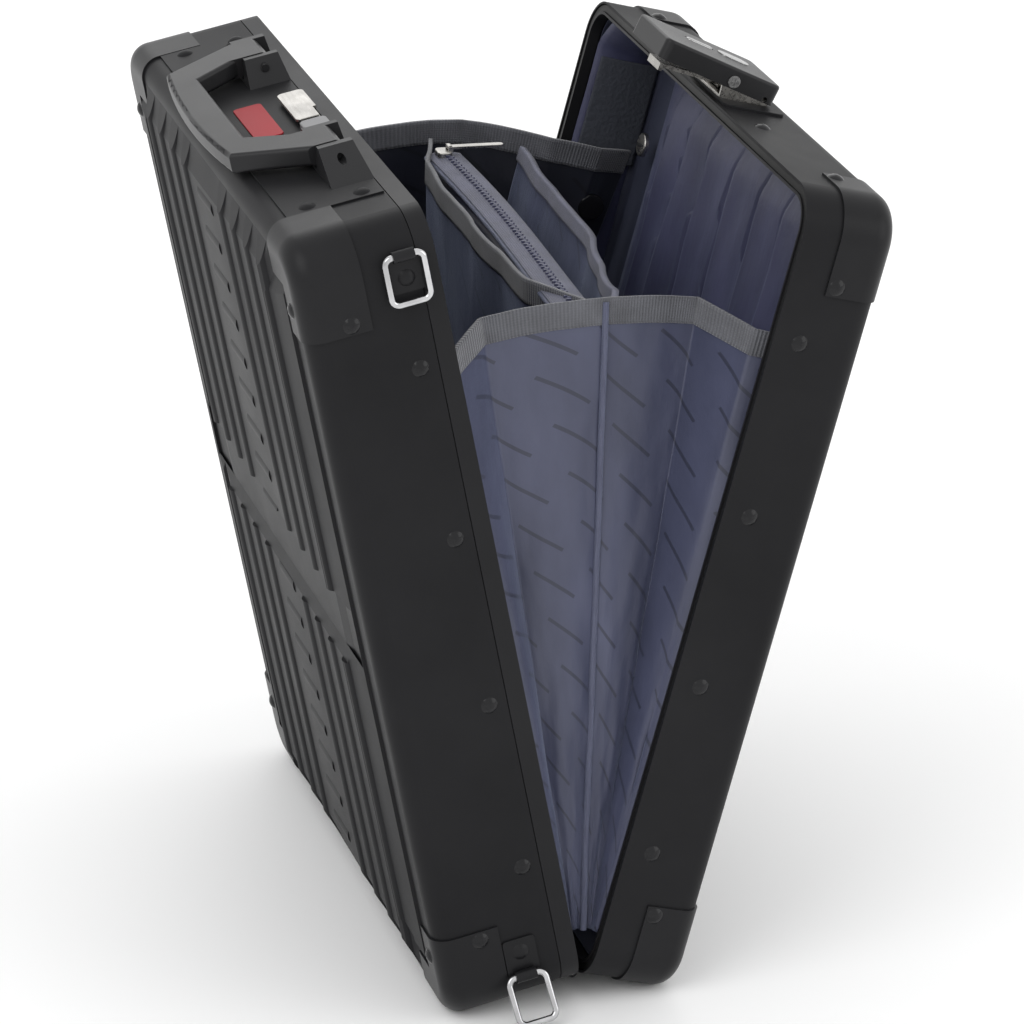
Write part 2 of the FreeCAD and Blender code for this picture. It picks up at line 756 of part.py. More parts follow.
CORNERS = {"near_top": (-1, True), "far_top": (1, True), "near_low": (-1, False), "far_low": (1, False)}
for half in SIDE:
    for where, (y_sign, upper) in CORNERS.items():
        corner_cap(half, "%s_cap_%s" % (half, where), y_sign, upper)


# ---------------------------------------------------------------- hinge


def leaf(half, odd):
    """A hinge leaf: a flat strap under the hinge wall with every other knuckle."""
    low = "-leaf_wall"
    count = int(size("knuckle_count"))
    step = "(hinge_length / knuckle_count)"
    ends = ("-hinge_length / 2", "hinge_length / 2")
    clear = "knuckle_radius + 2 * fit_gap"
    parts = [box(half + "_strap", half, (clear, "leaf_width"), ends, (low, "0"))]
    for k in range(count):
        if k % 2 != odd:
            continue
        y = ("-hinge_length / 2 + %d * %s + knuckle_gap / 2" % (k, step),
             "-hinge_length / 2 + %d * %s - knuckle_gap / 2" % (k + 1, step))
        parts.append(rod_y(half + "_knuckle", half, "knuckle_radius", "0", "0", y, "0"))
        parts.append(box(half + "_web", half, ("0", clear + " + 1"), y, (low, "-fit_gap / 2")))
    bore = rod_y(half + "_bore", half, "pin_radius + pin_clearance", "0", "0",
                 ("-hinge_length / 2 - 1", "hinge_length / 2 + 1"), "0")
    tools = fuse(half + "_leaf_tools", [bore, holes_for(half + "_leaf_holes", half + "_hinge_rivets")])
    keep(cut(half + "_leaf_cut", fuse(half + "_leaf_body", parts), tools), half + "_hinge_leaf", half)


leaf("base", 0)
leaf("lid", 1)
pin = rod_y("pin", "base", "pin_radius", "0", "0", ("-hinge_length / 2", "hinge_length / 2"), "0")
keep(pin, "hinge_pin", "base")


# ---------------------------------------------------------------- handle and its plate

top = "case_height"
cap_edge = "(case_length / 2 - cap_along - fit_gap)"
plate_block = box("plate_block", "base", ("plate_start", "plate_end"), ("-" + cap_edge, cap_edge),
                  (top, top + " + plate_wall"))
keep(cut("plate_cut", plate_block, holes_for("plate_holes", "handle_plate_rivets")),
     "handle_plate", "base")

PLATE_TOP = "case_height + plate_wall"
PIVOT_U = "(case_height + plate_wall + pivot_height)"


def wedge_ear(name, sign, inner, outer, rise_inner, rise_outer):
    """A bracket cheek: its two faces across the case lean towards the top."""
    w = doc.addObject("Part::Wedge", name)
    w.Placement = Placement(Vector(), Rotation(Vector(1, 0, 0), 90))
    # After the turn the wedge's Y runs up the half and its Z runs towards -Y.
    low, high = (inner, outer) if sign < 0 else ("-(%s)" % outer, "-(%s)" % inner)
    top_low, top_high = (rise_inner, rise_outer) if sign < 0 else (
        "-(%s)" % rise_outer, "-(%s)" % rise_inner)
    bind(w, Xmin="-(bracket_end)", Xmax="-(bracket_start)", Ymin=0, Ymax="bracket_height")
    bind(w, Zmin=low, Zmax=high, Z2min=top_low, Z2max=top_high)
    bind(w, X2min="-(bracket_end - 2)", X2max="-(bracket_start + 2)")
    bind(w, Placement__Base__z=PLATE_TOP + " + " + HINGE_DROP)
    return w


handle_pins = []
for where, sign in (("near", -1), ("far", 1)):
    label = "handle_bracket_" + where
    block = wedge_ear(label + "_block", sign, "bracket_inner", "bracket_outer", "ear_inner", "ear_outer")
    ends = ("arm_inner - 0.4", "arm_outer + 0.4")
    if sign < 0:
        ends = ("-(arm_outer + 0.4)", "-(arm_inner - 0.4)")
    slot = box(label + "_slot", "base", ("bracket_start - 1", "bracket_end + 1"), ends,
               (PLATE_TOP + " + 1.4", PLATE_TOP + " + bracket_height + 1"))
    through = ("bracket_inner - 1", "bracket_outer + 1")
    if sign < 0:
        through = ("-(bracket_outer + 1)", "-(bracket_inner - 1)")
    hole = rod_y(label + "_bore", "base", "handle_pin_radius", "pivot_depth", PIVOT_U, through)
    keep(cut(label + "_cut", block, fuse(label + "_tools", [slot, hole])), label, "base")
    pin_ends = ("bracket_inner + 4", "ear_outer + 3")
    if sign < 0:
        pin_ends = ("-(ear_outer + 3)", "-(bracket_inner + 4)")
    handle_pins.append(
        rod_y(label + "_pin", "base", "handle_pin_radius", "pivot_depth", PIVOT_U, pin_ends))
pins = doc.addObject("Part::Compound", "handle_pins")
pins.Links = handle_pins
keep(pins, "handle_pins", "base")


def handle():
    """The folding grip: one moulding with a bowed bar and two splayed arms."""
    body = new_body("handle_moulding")
    sketch = new_sketch(body, "XY_Plane", PIVOT_U + " - arm_thick / 2 + " + HINGE_DROP)
    outline = [
        ("pivot_depth - arm_boss", "arm_outer"),
        ("bracket_end + 2", "arm_outer"),
        ("grip_end", "grip_corner"),
        ("grip_end", "-grip_corner"),
        ("bracket_end + 2", "-arm_outer"),
        ("pivot_depth - arm_boss", "-arm_outer"),
        ("pivot_depth - arm_boss", "-arm_inner"),
        ("bracket_end + 2", "-arm_inner"),
        ("grip_start", "-grip_inner_corner"),
        ("grip_start", "grip_inner_corner"),
        ("bracket_end + 2", "arm_inner"),
        ("pivot_depth - arm_boss", "arm_inner"),
    ]
    points = [Vector(-value_of(d), value_of(y), 0) for d, y in outline]
    count = len(points)
    for k, point in enumerate(points):
        after = points[(k + 1) % count]
        if k == 2:
            middle = (point + after) / 2 - Vector(size("grip_bow"), 0, 0)
            sketch.addGeometry(Part.Arc(point, middle, after))
        else:
            sketch.addGeometry(Part.LineSegment(point, after))
    arc = sketch.Geometry[2]
    forward = (arc.StartPoint - points[2]).Length < 1e-6
    ends = {k: (k, 1) for k in range(count)}
    if not forward:
        ends[2] = (2, 2)
    tails = {k: (k, 2) for k in range(count)}
    if not forward:
        tails[2] = (2, 1)
    for k in range(count):
        sketch.addConstraint(Sketcher.Constraint("Coincident", *tails[k], *ends[(k + 1) % count]))
    for k, (d, y) in enumerate(outline):
        for kind, text in (("DistanceX", "-(%s)" % d), ("DistanceY", y)):
            index = sketch.addConstraint(Sketcher.Constraint(kind, -1, 1, *ends[k], value_of(text)))
            word = "%s%d" % (kind[-1].lower(), k)
            sketch.renameConstraint(index, "place_" + word)
            sketch.setExpression("Constraints.place_" + word, bound(text))
    index = sketch.addConstraint(Sketcher.Constraint("Radius", 2, arc.Radius))
    sketch.renameConstraint(index, "bow_radius")
    sketch.setExpression("Constraints.bow_radius",
                         bound("(grip_corner ^ 2 + grip_bow ^ 2) / (2 * grip_bow)"))
    pad(body, sketch, "arm_thick")
    doc.recompute()
    low = value_of(PIVOT_U + " - arm_thick / 2 + " + HINGE_DROP)
    high = low + size("arm_thick")
    inside = -value_of("bracket_end + 2")

    def grip_rim(points):
        level = all(abs(p.z - low) < 1e-3 for p in points) or all(abs(p.z - high) < 1e-3 for p in points)
        return level and all(p.x < inside + 0.5 for p in points) and min(p.x for p in points) < inside - 5

    round_edges(body, 2.2, grip_rim)
    ends = ("-(arm_outer + 1)", "arm_outer + 1")
    bore = rod_y("handle_bore", "base", "handle_pin_radius + pin_clearance", "pivot_depth", PIVOT_U, ends)
    block = box("handle_round_block", "base", ("0", "pivot_depth"), ends,
                (PIVOT_U + " - 20", PIVOT_U + " + 20"))
    boss = rod_y("handle_round", "base", "arm_boss", "pivot_depth", PIVOT_U, ends)
    nose = cut("handle_nose", block, boss)
    keep(cut("handle_cut", body, fuse("handle_tools", [nose, bore])), "handle", "base")


handle()

turn_top = Rotation(Vector(0, 0, 1), 90)
badge = plate("badge_body", "badge_length", "badge_width", "2.5", "badge_wall", "0.3")
keep(badge, "name_plate", "base",
     lay(size("badge_depth"), 0, HEIGHT + size("plate_wall"), "base", turn_top))

# ---------------------------------------------------------------- strike side of the latch

strike_base = plate("strike_base_body", "2 * strike_half_length", "8", "2", "strike_rise")
strike_top = plate("strike_top_body", "2 * strike_half_length", "14", "3", "strike_wall", "0.4")
strike_top.Placement = Placement(Vector(0, 1.5, size("strike_rise")), Rotation())
strike_notch = doc.addObject("Part::Box", "strike_notch")
bind(strike_notch, Length="strike_half_length + 2", Width=5, Height=8)
bind(strike_notch, Placement__Base__x="-(2 * strike_half_length) - 2 + 14", Placement__Base__y=-8.5)
bind(strike_notch, Placement__Base__z="strike_rise - 0.01")
strike = cut("strike_cut", fuse("strike_whole", [strike_base, strike_top]), strike_notch)
keep(strike, "strike_plate", "base",
     lay(size("strike_depth") + 3.0, 0, HEIGHT + size("plate_wall"), "base", turn_top))

block = plate("locator_body", "14", "12", "3", "4.6", "0.8")
keep(block, "locating_block", "base",
     lay(17.5, -(size("strike_half_length") + 10.0), HEIGHT + size("plate_wall"), "base"))


# ---------------------------------------------------------------- latch on the lid

latch_plate = plate("latch_plate_body", "2 * latch_half_width + 16", "34", "4", "1.6", "0.4")
keep(latch_plate, "latch_plate", "lid", lay(20.5, 0, HEIGHT, "lid", turn_top))

FRAME_TOP = "case_height + 1.6"
cheeks = []
for sign in (-1, 1):
    y = "%d * (latch_half_width - 5)" % sign
    cheeks.append(box("latch_cheek", "lid", ("4", "latch_pivot_depth + 4"), (y + " - 0.7", y + " + 0.7"),
                      (FRAME_TOP, FRAME_TOP + " + latch_pivot_height")))
cheeks.append(box("latch_bridge", "lid", ("4", "7"), ("-latch_half_width + 5", "latch_half_width - 5"),
                  (FRAME_TOP, FRAME_TOP + " + 1.4")))
COVER_PIVOT_U = "(" + FRAME_TOP + " + latch_pivot_height - 2.4)"
HOOK_PIVOT_U = "(" + FRAME_TOP + " + hook_pivot_height - 1)"
across = ("-latch_half_width + 4.2", "latch_half_width - 4.2")
bores = [
    rod_y("latch_bore", "lid", "latch_pin_radius", "latch_pivot_depth", COVER_PIVOT_U, across),
    rod_y("hook_bore", "lid", "latch_pin_radius", "hook_pivot_depth", HOOK_PIVOT_U, across),
]
keep(cut("latch_frame_cut", fuse("latch_frame_whole", cheeks), fuse("latch_bores", bores)),
     "latch_frame", "lid")
latch_pins = doc.addObject("Part::Compound", "latch_pins")
latch_pins.Links = [
    rod_y("latch_pin_rod", "lid", "latch_pin_radius", "latch_pivot_depth", COVER_PIVOT_U, across),
    rod_y("hook_pin_rod", "lid", "latch_pin_radius", "hook_pivot_depth", HOOK_PIVOT_U, across),
]
keep(latch_pins, "latch_pins", "lid")

# The cover is drawn about its pivot, lying flat, and stands lifted by its open angle.
cover_tilt = Rotation(AXIS_Y, size("latch_open_angle"))
pivot_place = lay(size("latch_pivot_depth"), 0, value_of(COVER_PIVOT_U), "lid", cover_tilt)
cover_body = plate("cover_outer", "latch_pivot_depth + latch_reach + 6", "2 * latch_half_width", "4",
                   "cover_thick", "1.6")
cover_body.Placement = Placement(
    Vector(-(size("latch_pivot_depth") + size("latch_reach") - 6) / 2, 0,
           size("cover_clear") - size("cover_thick") + 2), Rotation())
hollow = doc.addObject("Part::Box", "cover_hollow")
bind(hollow, Length="latch_pivot_depth + latch_reach + 6 - 2 * cover_wall")
bind(hollow, Width="2 * (latch_half_width - cover_wall)", Height="cover_thick - cover_wall")
bind(hollow, Placement__Base__x="-(latch_pivot_depth + latch_reach) + cover_wall")
bind(hollow, Placement__Base__y="-(latch_half_width - cover_wall)")
bind(hollow, Placement__Base__z="cover_clear - cover_thick + 2 - 0.01")


def hub(name, radius, ends, x="0", z="0"):
    """A round bar across a latch piece, in that piece's own frame."""
    c = doc.addObject("Part::Cylinder", name)
    c.Placement = Placement(Vector(), Rotation(Vector(1, 0, 0), -90))
    bind(c, Radius=radius, Height="(%s) - (%s)" % (ends[1], ends[0]), Placement__Base__y=ends[0])
    bind(c, Placement__Base__x=x, Placement__Base__z=z)
    return c


def block_at(name, x, y, z):
    b = doc.addObject("Part::Box", name)
    for prop, axis, (low, high) in (("Length", "x", x), ("Width", "y", y), ("Height", "z", z)):
        bind(b, **{prop: "(%s) - (%s)" % (high, low), "Placement__Base__" + axis: low})
    return b


lug_ends = ("-(latch_half_width - 6)", "latch_half_width - 6")
lug = fuse("cover_lug", [hub("cover_lug_round", "latch_pin_radius + 1.4", lug_ends),
                         block_at("cover_lug_web", ("-1.4", "1.4"), lug_ends, ("0", "cover_clear + 1"))])
bore_ends = ("-latch_half_width - 1", "latch_half_width + 1")
bore = hub("cover_bore", "latch_pin_radius + pin_clearance", bore_ends)
slot = block_at("cover_button_slot", ("-42", "-26"), ("2", "8"), ("0", "cover_clear + 4"))
key_hole = hub("cover_key_hole", "3.4", ("-latch_half_width - 1", "-latch_half_width + 4"), "-20", "2.4")
cover = cut("cover_hollowed", cover_body, hollow)
cover = cut("cover_cut", fuse("cover_whole", [cover, lug]),
            fuse("cover_tools", [bore, slot, key_hole]))
keep(cover, "latch_cover", "lid", pivot_place)

button = plate("button_body", "15.4", "5.4", "2.6", "3.2", "0.8")
button_place = Placement(Vector(-34, 5, size("cover_clear") + 2 - 2.6), Rotation())
keep(button, "latch_button", "lid", pivot_place.multiply(button_place))

plug = hub("plug_body", "3.3", ("-latch_half_width - 0.6", "-latch_half_width + 3.6"), "-20", "2.4")
plug_slot = block_at("plug_slot", ("-20.5", "-19.5"), ("-latch_half_width - 1", "-latch_half_width + 0.6"),
                     ("0.4", "4.4"))
keep(cut("plug_cut", plug, plug_slot), "key_plug", "lid", pivot_place)

medallion = plate("medallion_body", "18", "11", "5.4", "0.7", "0.25")
medal_place = Placement(Vector(-14, 3, size("cover_clear") + 2), Rotation())
keep(medallion, "latch_medallion", "lid", pivot_place.multiply(medal_place))

# The hook turns on its own pin and reaches past the parting plane.
hook_ends = ("-9", "9")
hook_shapes = [hub("hook_round", "latch_pin_radius + 1.3", hook_ends),
               block_at("hook_arm", ("-hook_reach", "0"), hook_ends, ("-0.4", "1.6")),
               block_at("hook_claw", ("-hook_reach - 1.4", "-hook_reach + 0.6"), hook_ends,
                        ("-2.4", "1.6"))]
hook_bore = hub("hook_bore_hole", "latch_pin_radius + pin_clearance", ("-10", "10"))
hook_window = block_at("hook_window", ("-hook_reach + 5", "-5"), ("-5", "5"), ("-4", "4"))
hook = cut("hook_cut", fuse("hook_whole", hook_shapes), fuse("hook_tools", [hook_bore, hook_window]))
hook_tilt = Rotation(AXIS_Y, 6.0)
keep(hook, "latch_hook", "lid",
     lay(size("hook_pivot_depth"), 0, value_of(HOOK_PIVOT_U), "lid", hook_tilt))


# ---------------------------------------------------------------- strap loops

def ring_tab(label, body_side):
    """A riveted tab with a rolled loop; its flat runs up or down from the loop."""
    name = label + "_tab"
    flat = plate(name + "_flat", "tab_width", "tab_height", "2", "tab_wall")
    flat.Placement = Placement(Vector(0, body_side * size("tab_height") / 2, 0), Rotation())
    barrel = doc.addObject("Part::Cylinder", name + "_barrel")
    barrel.Placement = Placement(Vector(), Rotation(AXIS_Y, 90))
    bind(barrel, Radius="ring_wire + loop_clearance + loop_wall", Height="loop_length")
    bind(barrel, Placement__Base__x="-loop_length / 2", Placement__Base__z=ring_out)
    neck = block_at(name + "_neck", ("-loop_length / 2", "loop_length / 2"),
                    ("0", "loop_wall") if body_side > 0 else ("-loop_wall", "0"), ("0", str(ring_out)))
    foot = block_at(name + "_foot", ("-loop_length / 2", "loop_length / 2"),
                    ("0", "6") if body_side > 0 else ("-6", "0"), ("0", "tab_wall"))
    bore = doc.addObject("Part::Cylinder", name + "_bore")
    bore.Placement = Placement(Vector(), Rotation(AXIS_Y, 90))
    bind(bore, Radius="ring_wire + loop_clearance", Height="loop_length + 2")
    bind(bore, Placement__Base__x="-loop_length / 2 - 1", Placement__Base__z=ring_out)
    hole = feature(name + "_hole", rivet_hole().translated(Vector(0, body_side * TAB_RIVET.y, 0)))
    piece = cut(name + "_cut", fuse(name + "_whole", [flat, barrel, neck, foot]),
                fuse(name + "_tools", [bore, hole]))
    keep(piece, "ring_tab_" + label, "base", tab_place(label))


def ring(label, lean):
    """A rounded wire loop that hangs from its upper bar."""
    body = new_body(label + "_wire")
    path = new_sketch(body, "XY_Plane")
    rounded_rect(path, "ring_width - 2 * ring_wire", "ring_height - 2 * ring_wire", "ring_corner - ring_wire",
                 ("0", "-(ring_height - 2 * ring_wire) / 2"))
    doc.recompute()
    section = new_sketch(body, "YZ_Plane")
    section.addGeometry(Part.Circle(Vector(0, 0, 0), Vector(0, 0, 1), size("ring_wire")))
    section.addConstraint(Sketcher.Constraint("Coincident", 0, 3, -1, 1))
    index = section.addConstraint(Sketcher.Constraint("Radius", 0, size("ring_wire")))
    section.renameConstraint(index, "wire")
    section.setExpression("Constraints.wire", bound("ring_wire"))
    pipe = body.newObject("PartDesign::AdditivePipe", label + "_pipe")
    pipe.Profile = section
    pipe.Spine = (path, ["Edge%d" % (k + 1) for k in range(8)])
    hang = Placement(Vector(0, 0, ring_out), Rotation(Vector(1, 0, 0), lean))
    keep(body, "ring_" + label, "base", tab_place(label).multiply(hang))


for label, (_, _, _, above) in RING_PLACES.items():
    ring_tab(label, above)
    ring(label, 0.0 if above < 0 else -size("low_ring_lean"))


# ---------------------------------------------------------------- linings and soft parts


def liner(half, start):
    inset = "wall + skirt_wall + fit_gap" if half == "base" else "lid_frame_width + fit_gap"
    floor = "%s_depth - panel_wall - fit_gap" % half
    piece = pan(half + "_liner", half, inset, start, floor, "edge_radius - 3", "liner_wall", "liner_wall")
    keep(piece, half + "_lining", half)


liner("base", "lip_depth + 0.4")
liner("lid", "lid_frame_depth + 3")

pocket_floor = "lid_depth - panel_wall - 2 * fit_gap - liner_wall"
pocket_inset = "(lid_frame_width + pocket_margin)"
keep(box("pocket_block", "lid", (pocket_floor + " - pocket_thick", pocket_floor),
         ("-(case_length / 2 - %s)" % pocket_inset, "case_length / 2 - %s" % pocket_inset),
         (pocket_inset, "case_height - pocket_drop")), "lid_pocket", "lid")


# Fold lines of each gusset at its top: share of the way from base to lid, and distance
# inwards from the end wall.
FOLDS = {
    "near": ((0.0, 15.0), (0.15, 45.0), (0.56, 52.0), (0.88, 58.0), (1.0, 18.0)),
    "far": ((0.0, 22.0), (0.3, 14.0), (0.6, 10.0), (0.9, 30.0), (1.0, 34.0)),
}


def accordion(label, y_sign, folds):
    """A folded gusset between the two halves, as one thin sheet that fans out to its top."""
    low, high, cloth = size("gusset_low"), size("gusset_height"), size("cloth")
    root_inset = size("gusset_inset")
    wires = []
    for reach in (low, high):
        z = hinge_height + reach * math.cos(base_lean)
        fit = size("fit_gap") + size("rim_gap")
        left = -reach * math.tan(base_lean) + fit
        right = reach * math.tan(lid_lean) - fit
        spread = (reach - low) / (high - low)
        line = []
        for share, inset in folds:
            y = y_sign * (HALF_LENGTH - root_inset - (inset - root_inset) * spread)
            line.append((left + (right - left) * share, y))
        rim = [Vector(x, y - cloth / 2, z) for x, y in line]
        rim += [Vector(x, y + cloth / 2, z) for x, y in reversed(line)]
        wires.append(Part.makePolygon(rim + [rim[0]]))
    keep(feature(label + "_sheet", Part.makeLoft(wires, True, True)), label, "hinge_free")


accordion("gusset_near", -1, FOLDS["near"])
accordion("gusset_far", 1, FOLDS["far"])


def leaf_between(name, label, half, d0, d1, low, high):
    piece = box(name, half, (d0, d1), ("-divider_near", "divider_far"), (low, high))
    keep(piece, label, half)


pouch_half = "pouch_thick / 2"
leaf_between("pouch_block", "zip_pouch", "divider", "-" + pouch_half, pouch_half,
             "pouch_low", "pouch_top")
leaf_between("divider_base_block", "divider_sheet_base", "sheet_base",
             "-(%s) - divider_gap - cloth" % pouch_half, "-(%s) - divider_gap" % pouch_half,
             "pouch_low - 20", "pouch_top - 4")
leaf_between("divider_lid_block", "divider_sheet_lid", "sheet_lid", "%s + divider_gap" % pouch_half,
             "%s + divider_gap + cloth" % pouch_half, "pouch_low - 20", "pouch_top - 4")

SLIDER_Y = size("divider_far") - 12.0
slider_up = size("pouch_top") + hinge_drop
bar_x, bar_z = "3.2", "(3 + pull_eye + 0.2)"
cheeks = [block_at("slider_cheek", ("1.9", "4.5"), y, ("2.5", bar_z + " + 0.9"))
          for y in (("-3.4", "-2.6"), ("2.6", "3.4"))]
slider_bar = hub("slider_bar", "0.6", ("-3.4", "3.4"), bar_x, bar_z)
slider_body = plate("slider_body", "8", "11", "2.5", "3", "0.8")
slider_place = Placement(Vector(0, SLIDER_Y, slider_up + size("fit_gap")), Rotation())
keep(fuse("slider_whole", [slider_body, slider_bar] + cheeks), "zip_slider", "divider", slider_place)
pull_body = plate("pull_body", "30", "4.4", "1.6", "1.4", "0.3")
pull_body.Placement = Placement(Vector(18.2, 0, value_of(bar_z) - 0.7), Rotation())
pull_eye = hub("pull_eye", "pull_eye", ("-2.2", "2.2"), bar_x, bar_z)
pull_bore = hub("pull_bore", "0.65", ("-3", "3"), bar_x, bar_z)
keep(cut("pull_cut", fuse("pull_whole", [pull_body, pull_eye]), pull_bore), "zip_pull", "divider",
     slider_place)

snap = plate("snap_body", "13", "13", "6.4", "2.4", "0.8")
snap_turn = Rotation(Vector(0, 0, 1), Vector(-1, 0, 0))
pocket_face = value_of(pocket_floor + " - pocket_thick - fit_gap")
keep(snap, "pocket_snap", "lid",
     lay(pocket_face, HALF_LENGTH - 40.0, HEIGHT - size("pocket_drop") - 12.0, "lid", snap_turn))


# ---------------------------------------------------------------- stand, check and export

doc.recompute()


def row_place(half, local, hinge_x):
    if half == "hinge_free":
        return Placement(Vector(hinge_x, 0, 0), Rotation())
    return stance(LEAN[half], hinge_x).multiply(local)


def overall():
    total = FreeCAD.BoundBox()
    for obj, _, _ in nodes.values():
        total.add(obj.Shape.optimalBoundingBox(False))
    return total


def stand(hinge_x):
    for obj, half, local in nodes.values():
        obj.Placement = row_place(half, local, hinge_x)
    doc.recompute()


stand(0.0)
hinge_x = -overall().Center.x
stand(hinge_x)

for obj in doc.Objects:
    bad = [word for word in obj.State if word in ("Invalid", "Error")]
    if bad:
        raise RuntimeError("%s (%s) is %s" % (obj.Label, obj.Name, bad))
for label, (obj, _, _) in nodes.items():
    if obj.Shape.isNull() or not obj.Shape.isValid() or not obj.Shape.Solids:
        raise RuntimeError("%s has no valid solid" % label)

os.makedirs("parts", exist_ok=True)
for label, (obj, _, _) in nodes.items():
    obj.Shape.exportStep("parts/%s.step" % label)

box_all = overall()
print("nodes %d" % len(nodes))
print("size %.2f %.2f %.2f" % (box_all.XLength, box_all.YLength, box_all.ZLength))
print("low %.3f" % box_all.ZMin)
print("hinge %.4f %.4f lean %.4f %.4f" % (
    hinge_x, hinge_height, math.degrees(base_lean), math.degrees(lid_lean)))
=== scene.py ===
import json
import math

import bmesh
import bpy
from mathutils import Matrix, Vector, noise


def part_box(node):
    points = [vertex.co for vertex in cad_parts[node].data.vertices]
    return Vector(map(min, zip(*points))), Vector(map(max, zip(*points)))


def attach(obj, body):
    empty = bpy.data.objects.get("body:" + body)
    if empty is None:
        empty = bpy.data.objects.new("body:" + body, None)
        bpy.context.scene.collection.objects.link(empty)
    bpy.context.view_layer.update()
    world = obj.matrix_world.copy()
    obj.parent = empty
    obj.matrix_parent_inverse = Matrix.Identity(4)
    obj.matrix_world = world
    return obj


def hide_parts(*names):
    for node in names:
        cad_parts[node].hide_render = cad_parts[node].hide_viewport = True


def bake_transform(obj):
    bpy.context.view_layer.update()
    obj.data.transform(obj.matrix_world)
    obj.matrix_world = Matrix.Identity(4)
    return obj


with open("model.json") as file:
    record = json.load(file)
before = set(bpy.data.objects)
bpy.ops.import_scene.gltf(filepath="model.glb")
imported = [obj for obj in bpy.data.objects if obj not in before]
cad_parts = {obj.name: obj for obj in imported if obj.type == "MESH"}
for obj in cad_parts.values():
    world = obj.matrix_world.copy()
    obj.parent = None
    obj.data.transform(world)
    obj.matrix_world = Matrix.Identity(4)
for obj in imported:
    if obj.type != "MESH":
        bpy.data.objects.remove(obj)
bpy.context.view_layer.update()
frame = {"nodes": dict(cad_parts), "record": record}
bpy.ops.object.select_all(action="DESELECT")

# ---------------------------------------------------------------- where things are
HINGE = Vector(next(j["pos_m"] for j in frame["record"]["behaviour"]["joints"] if j["name"] == "lid_hinge"))
BASE_LEAN = -10.2556
LID_LEAN = 15.7444
MID_LEAN = (BASE_LEAN + LID_LEAN) / 2
HALF_LENGTH = 0.183
CASE_HEIGHT = 0.430
HINGE_DROP = 0.0029


def fan(angle, y, reach):
    """A point at an angle from upright about the hinge, at that distance from it."""
    a = math.radians(angle)
    return Vector((HINGE.x + reach * math.sin(a), y, HINGE.z + reach * math.cos(a)))


def on_half(lean, across, y, up):
    """A point in a half's own frame: across from its parting plane and up from its hinge wall."""
    a = math.radians(lean)
    up += HINGE_DROP
    return Vector((HINGE.x + across * math.cos(a) + up * math.sin(a), y,
                   HINGE.z - across * math.sin(a) + up * math.cos(a)))


def steps(low, high, x):
    """0 below low, 1 above high, and a smooth ramp between."""
    t = min(1.0, max(0.0, (x - low) / (high - low)))
    return t * t * (3 - 2 * t)


def along(keys, t):
    """A value or tuple read from evenly or unevenly placed keys [(t, a, b, ...)], smooth between them."""
    for (t0, *a), (t1, *b) in zip(keys, keys[1:]):
        if t <= t1:
            s = (t - t0) / (t1 - t0)
            s = s * s * (3 - 2 * s) * 0.35 + s * 0.65
            return [p + (q - p) * s for p, q in zip(a, b)]
    return list(keys[-1][1:])


# ---------------------------------------------------------------- materials


def new_material(name):
    m = bpy.data.materials.new(name)
    m.use_nodes = True
    tree = m.node_tree
    shader = tree.nodes["Principled BSDF"]
    return m, tree, shader


def node(tree, kind, **settings):
    n = tree.nodes.new(kind)
    for key, value in settings.items():
        if key.startswith("in_"):
            n.inputs[key[3:].replace("_", " ")].default_value = value
        else:
            setattr(n, key, value)
    return n


def math_node(tree, operation, a, b=None, c=None):
    n = tree.nodes.new("ShaderNodeMath")
    n.operation = operation
    for k, v in enumerate((a, b, c)):
        if v is None:
            continue
        if isinstance(v, (int, float)):
            n.inputs[k].default_value = v
        else:
            tree.links.new(v, n.inputs[k])
    return n.outputs[0]


def ramp(tree, value, stops):
    r = tree.nodes.new("ShaderNodeValToRGB")
    el = r.color_ramp.elements
    while len(el) < len(stops):
        el.new(0.5)
    for e, (pos, colour) in zip(el, stops):
        e.position = pos
        e.color = (*colour, 1.0) if len(colour) == 3 else colour
    tree.links.new(value, r.inputs[0])
    return r.outputs[0]


def noise_at(tree, coords, scale, detail=4.0, rough=0.5, stretch=(1, 1, 1)):
    mapping = node(tree, "ShaderNodeMapping")
    mapping.inputs["Scale"].default_value = stretch
    tree.links.new(coords, mapping.inputs["Vector"])
    n = node(tree, "ShaderNodeTexNoise", in_Scale=scale, in_Detail=detail, in_Roughness=rough)
    tree.links.new(mapping.outputs[0], n.inputs["Vector"])
    return n.outputs["Fac"]


def bump(tree, shader, height, distance, strength=1.0, under=None):
    b = node(tree, "ShaderNodeBump", in_Strength=strength, in_Distance=distance)
    tree.links.new(height, b.inputs["Height"])
    if under is not None:
        tree.links.new(under, b.inputs["Normal"])
    tree.links.new(b.outputs[0], shader.inputs["Normal"])
    return b.outputs[0]


def coated(name, colour, rough, grain=2600.0, depth=0.00006, metallic=0.0, spec=0.5, spread=0.06):
    """A sprayed coat: even colour, a fine orange-peel grain and faint rubbed patches."""
    m, tree, shader = new_material(name)
    coords = node(tree, "ShaderNodeTexCoord").outputs["Object"]
    patches = noise_at(tree, coords, 9.0, 5.0, 0.6)
    fine = noise_at(tree, coords, grain, 2.0)
    lighter = tuple(min(1.0, c * 1.35 + 0.002) for c in colour)
    tree.links.new(ramp(tree, patches, [(0.3, colour), (0.75, lighter)]), shader.inputs["Base Color"])
    low, high = rough - spread, rough + spread
    tree.links.new(ramp(tree, patches, [(0.3, (low,) * 3), (0.7, (high,) * 3)]), shader.inputs["Roughness"])
    bump(tree, shader, fine, depth, 0.6)
    shader.inputs["Metallic"].default_value = metallic
    shader.inputs["Specular IOR Level"].default_value = spec
    return m


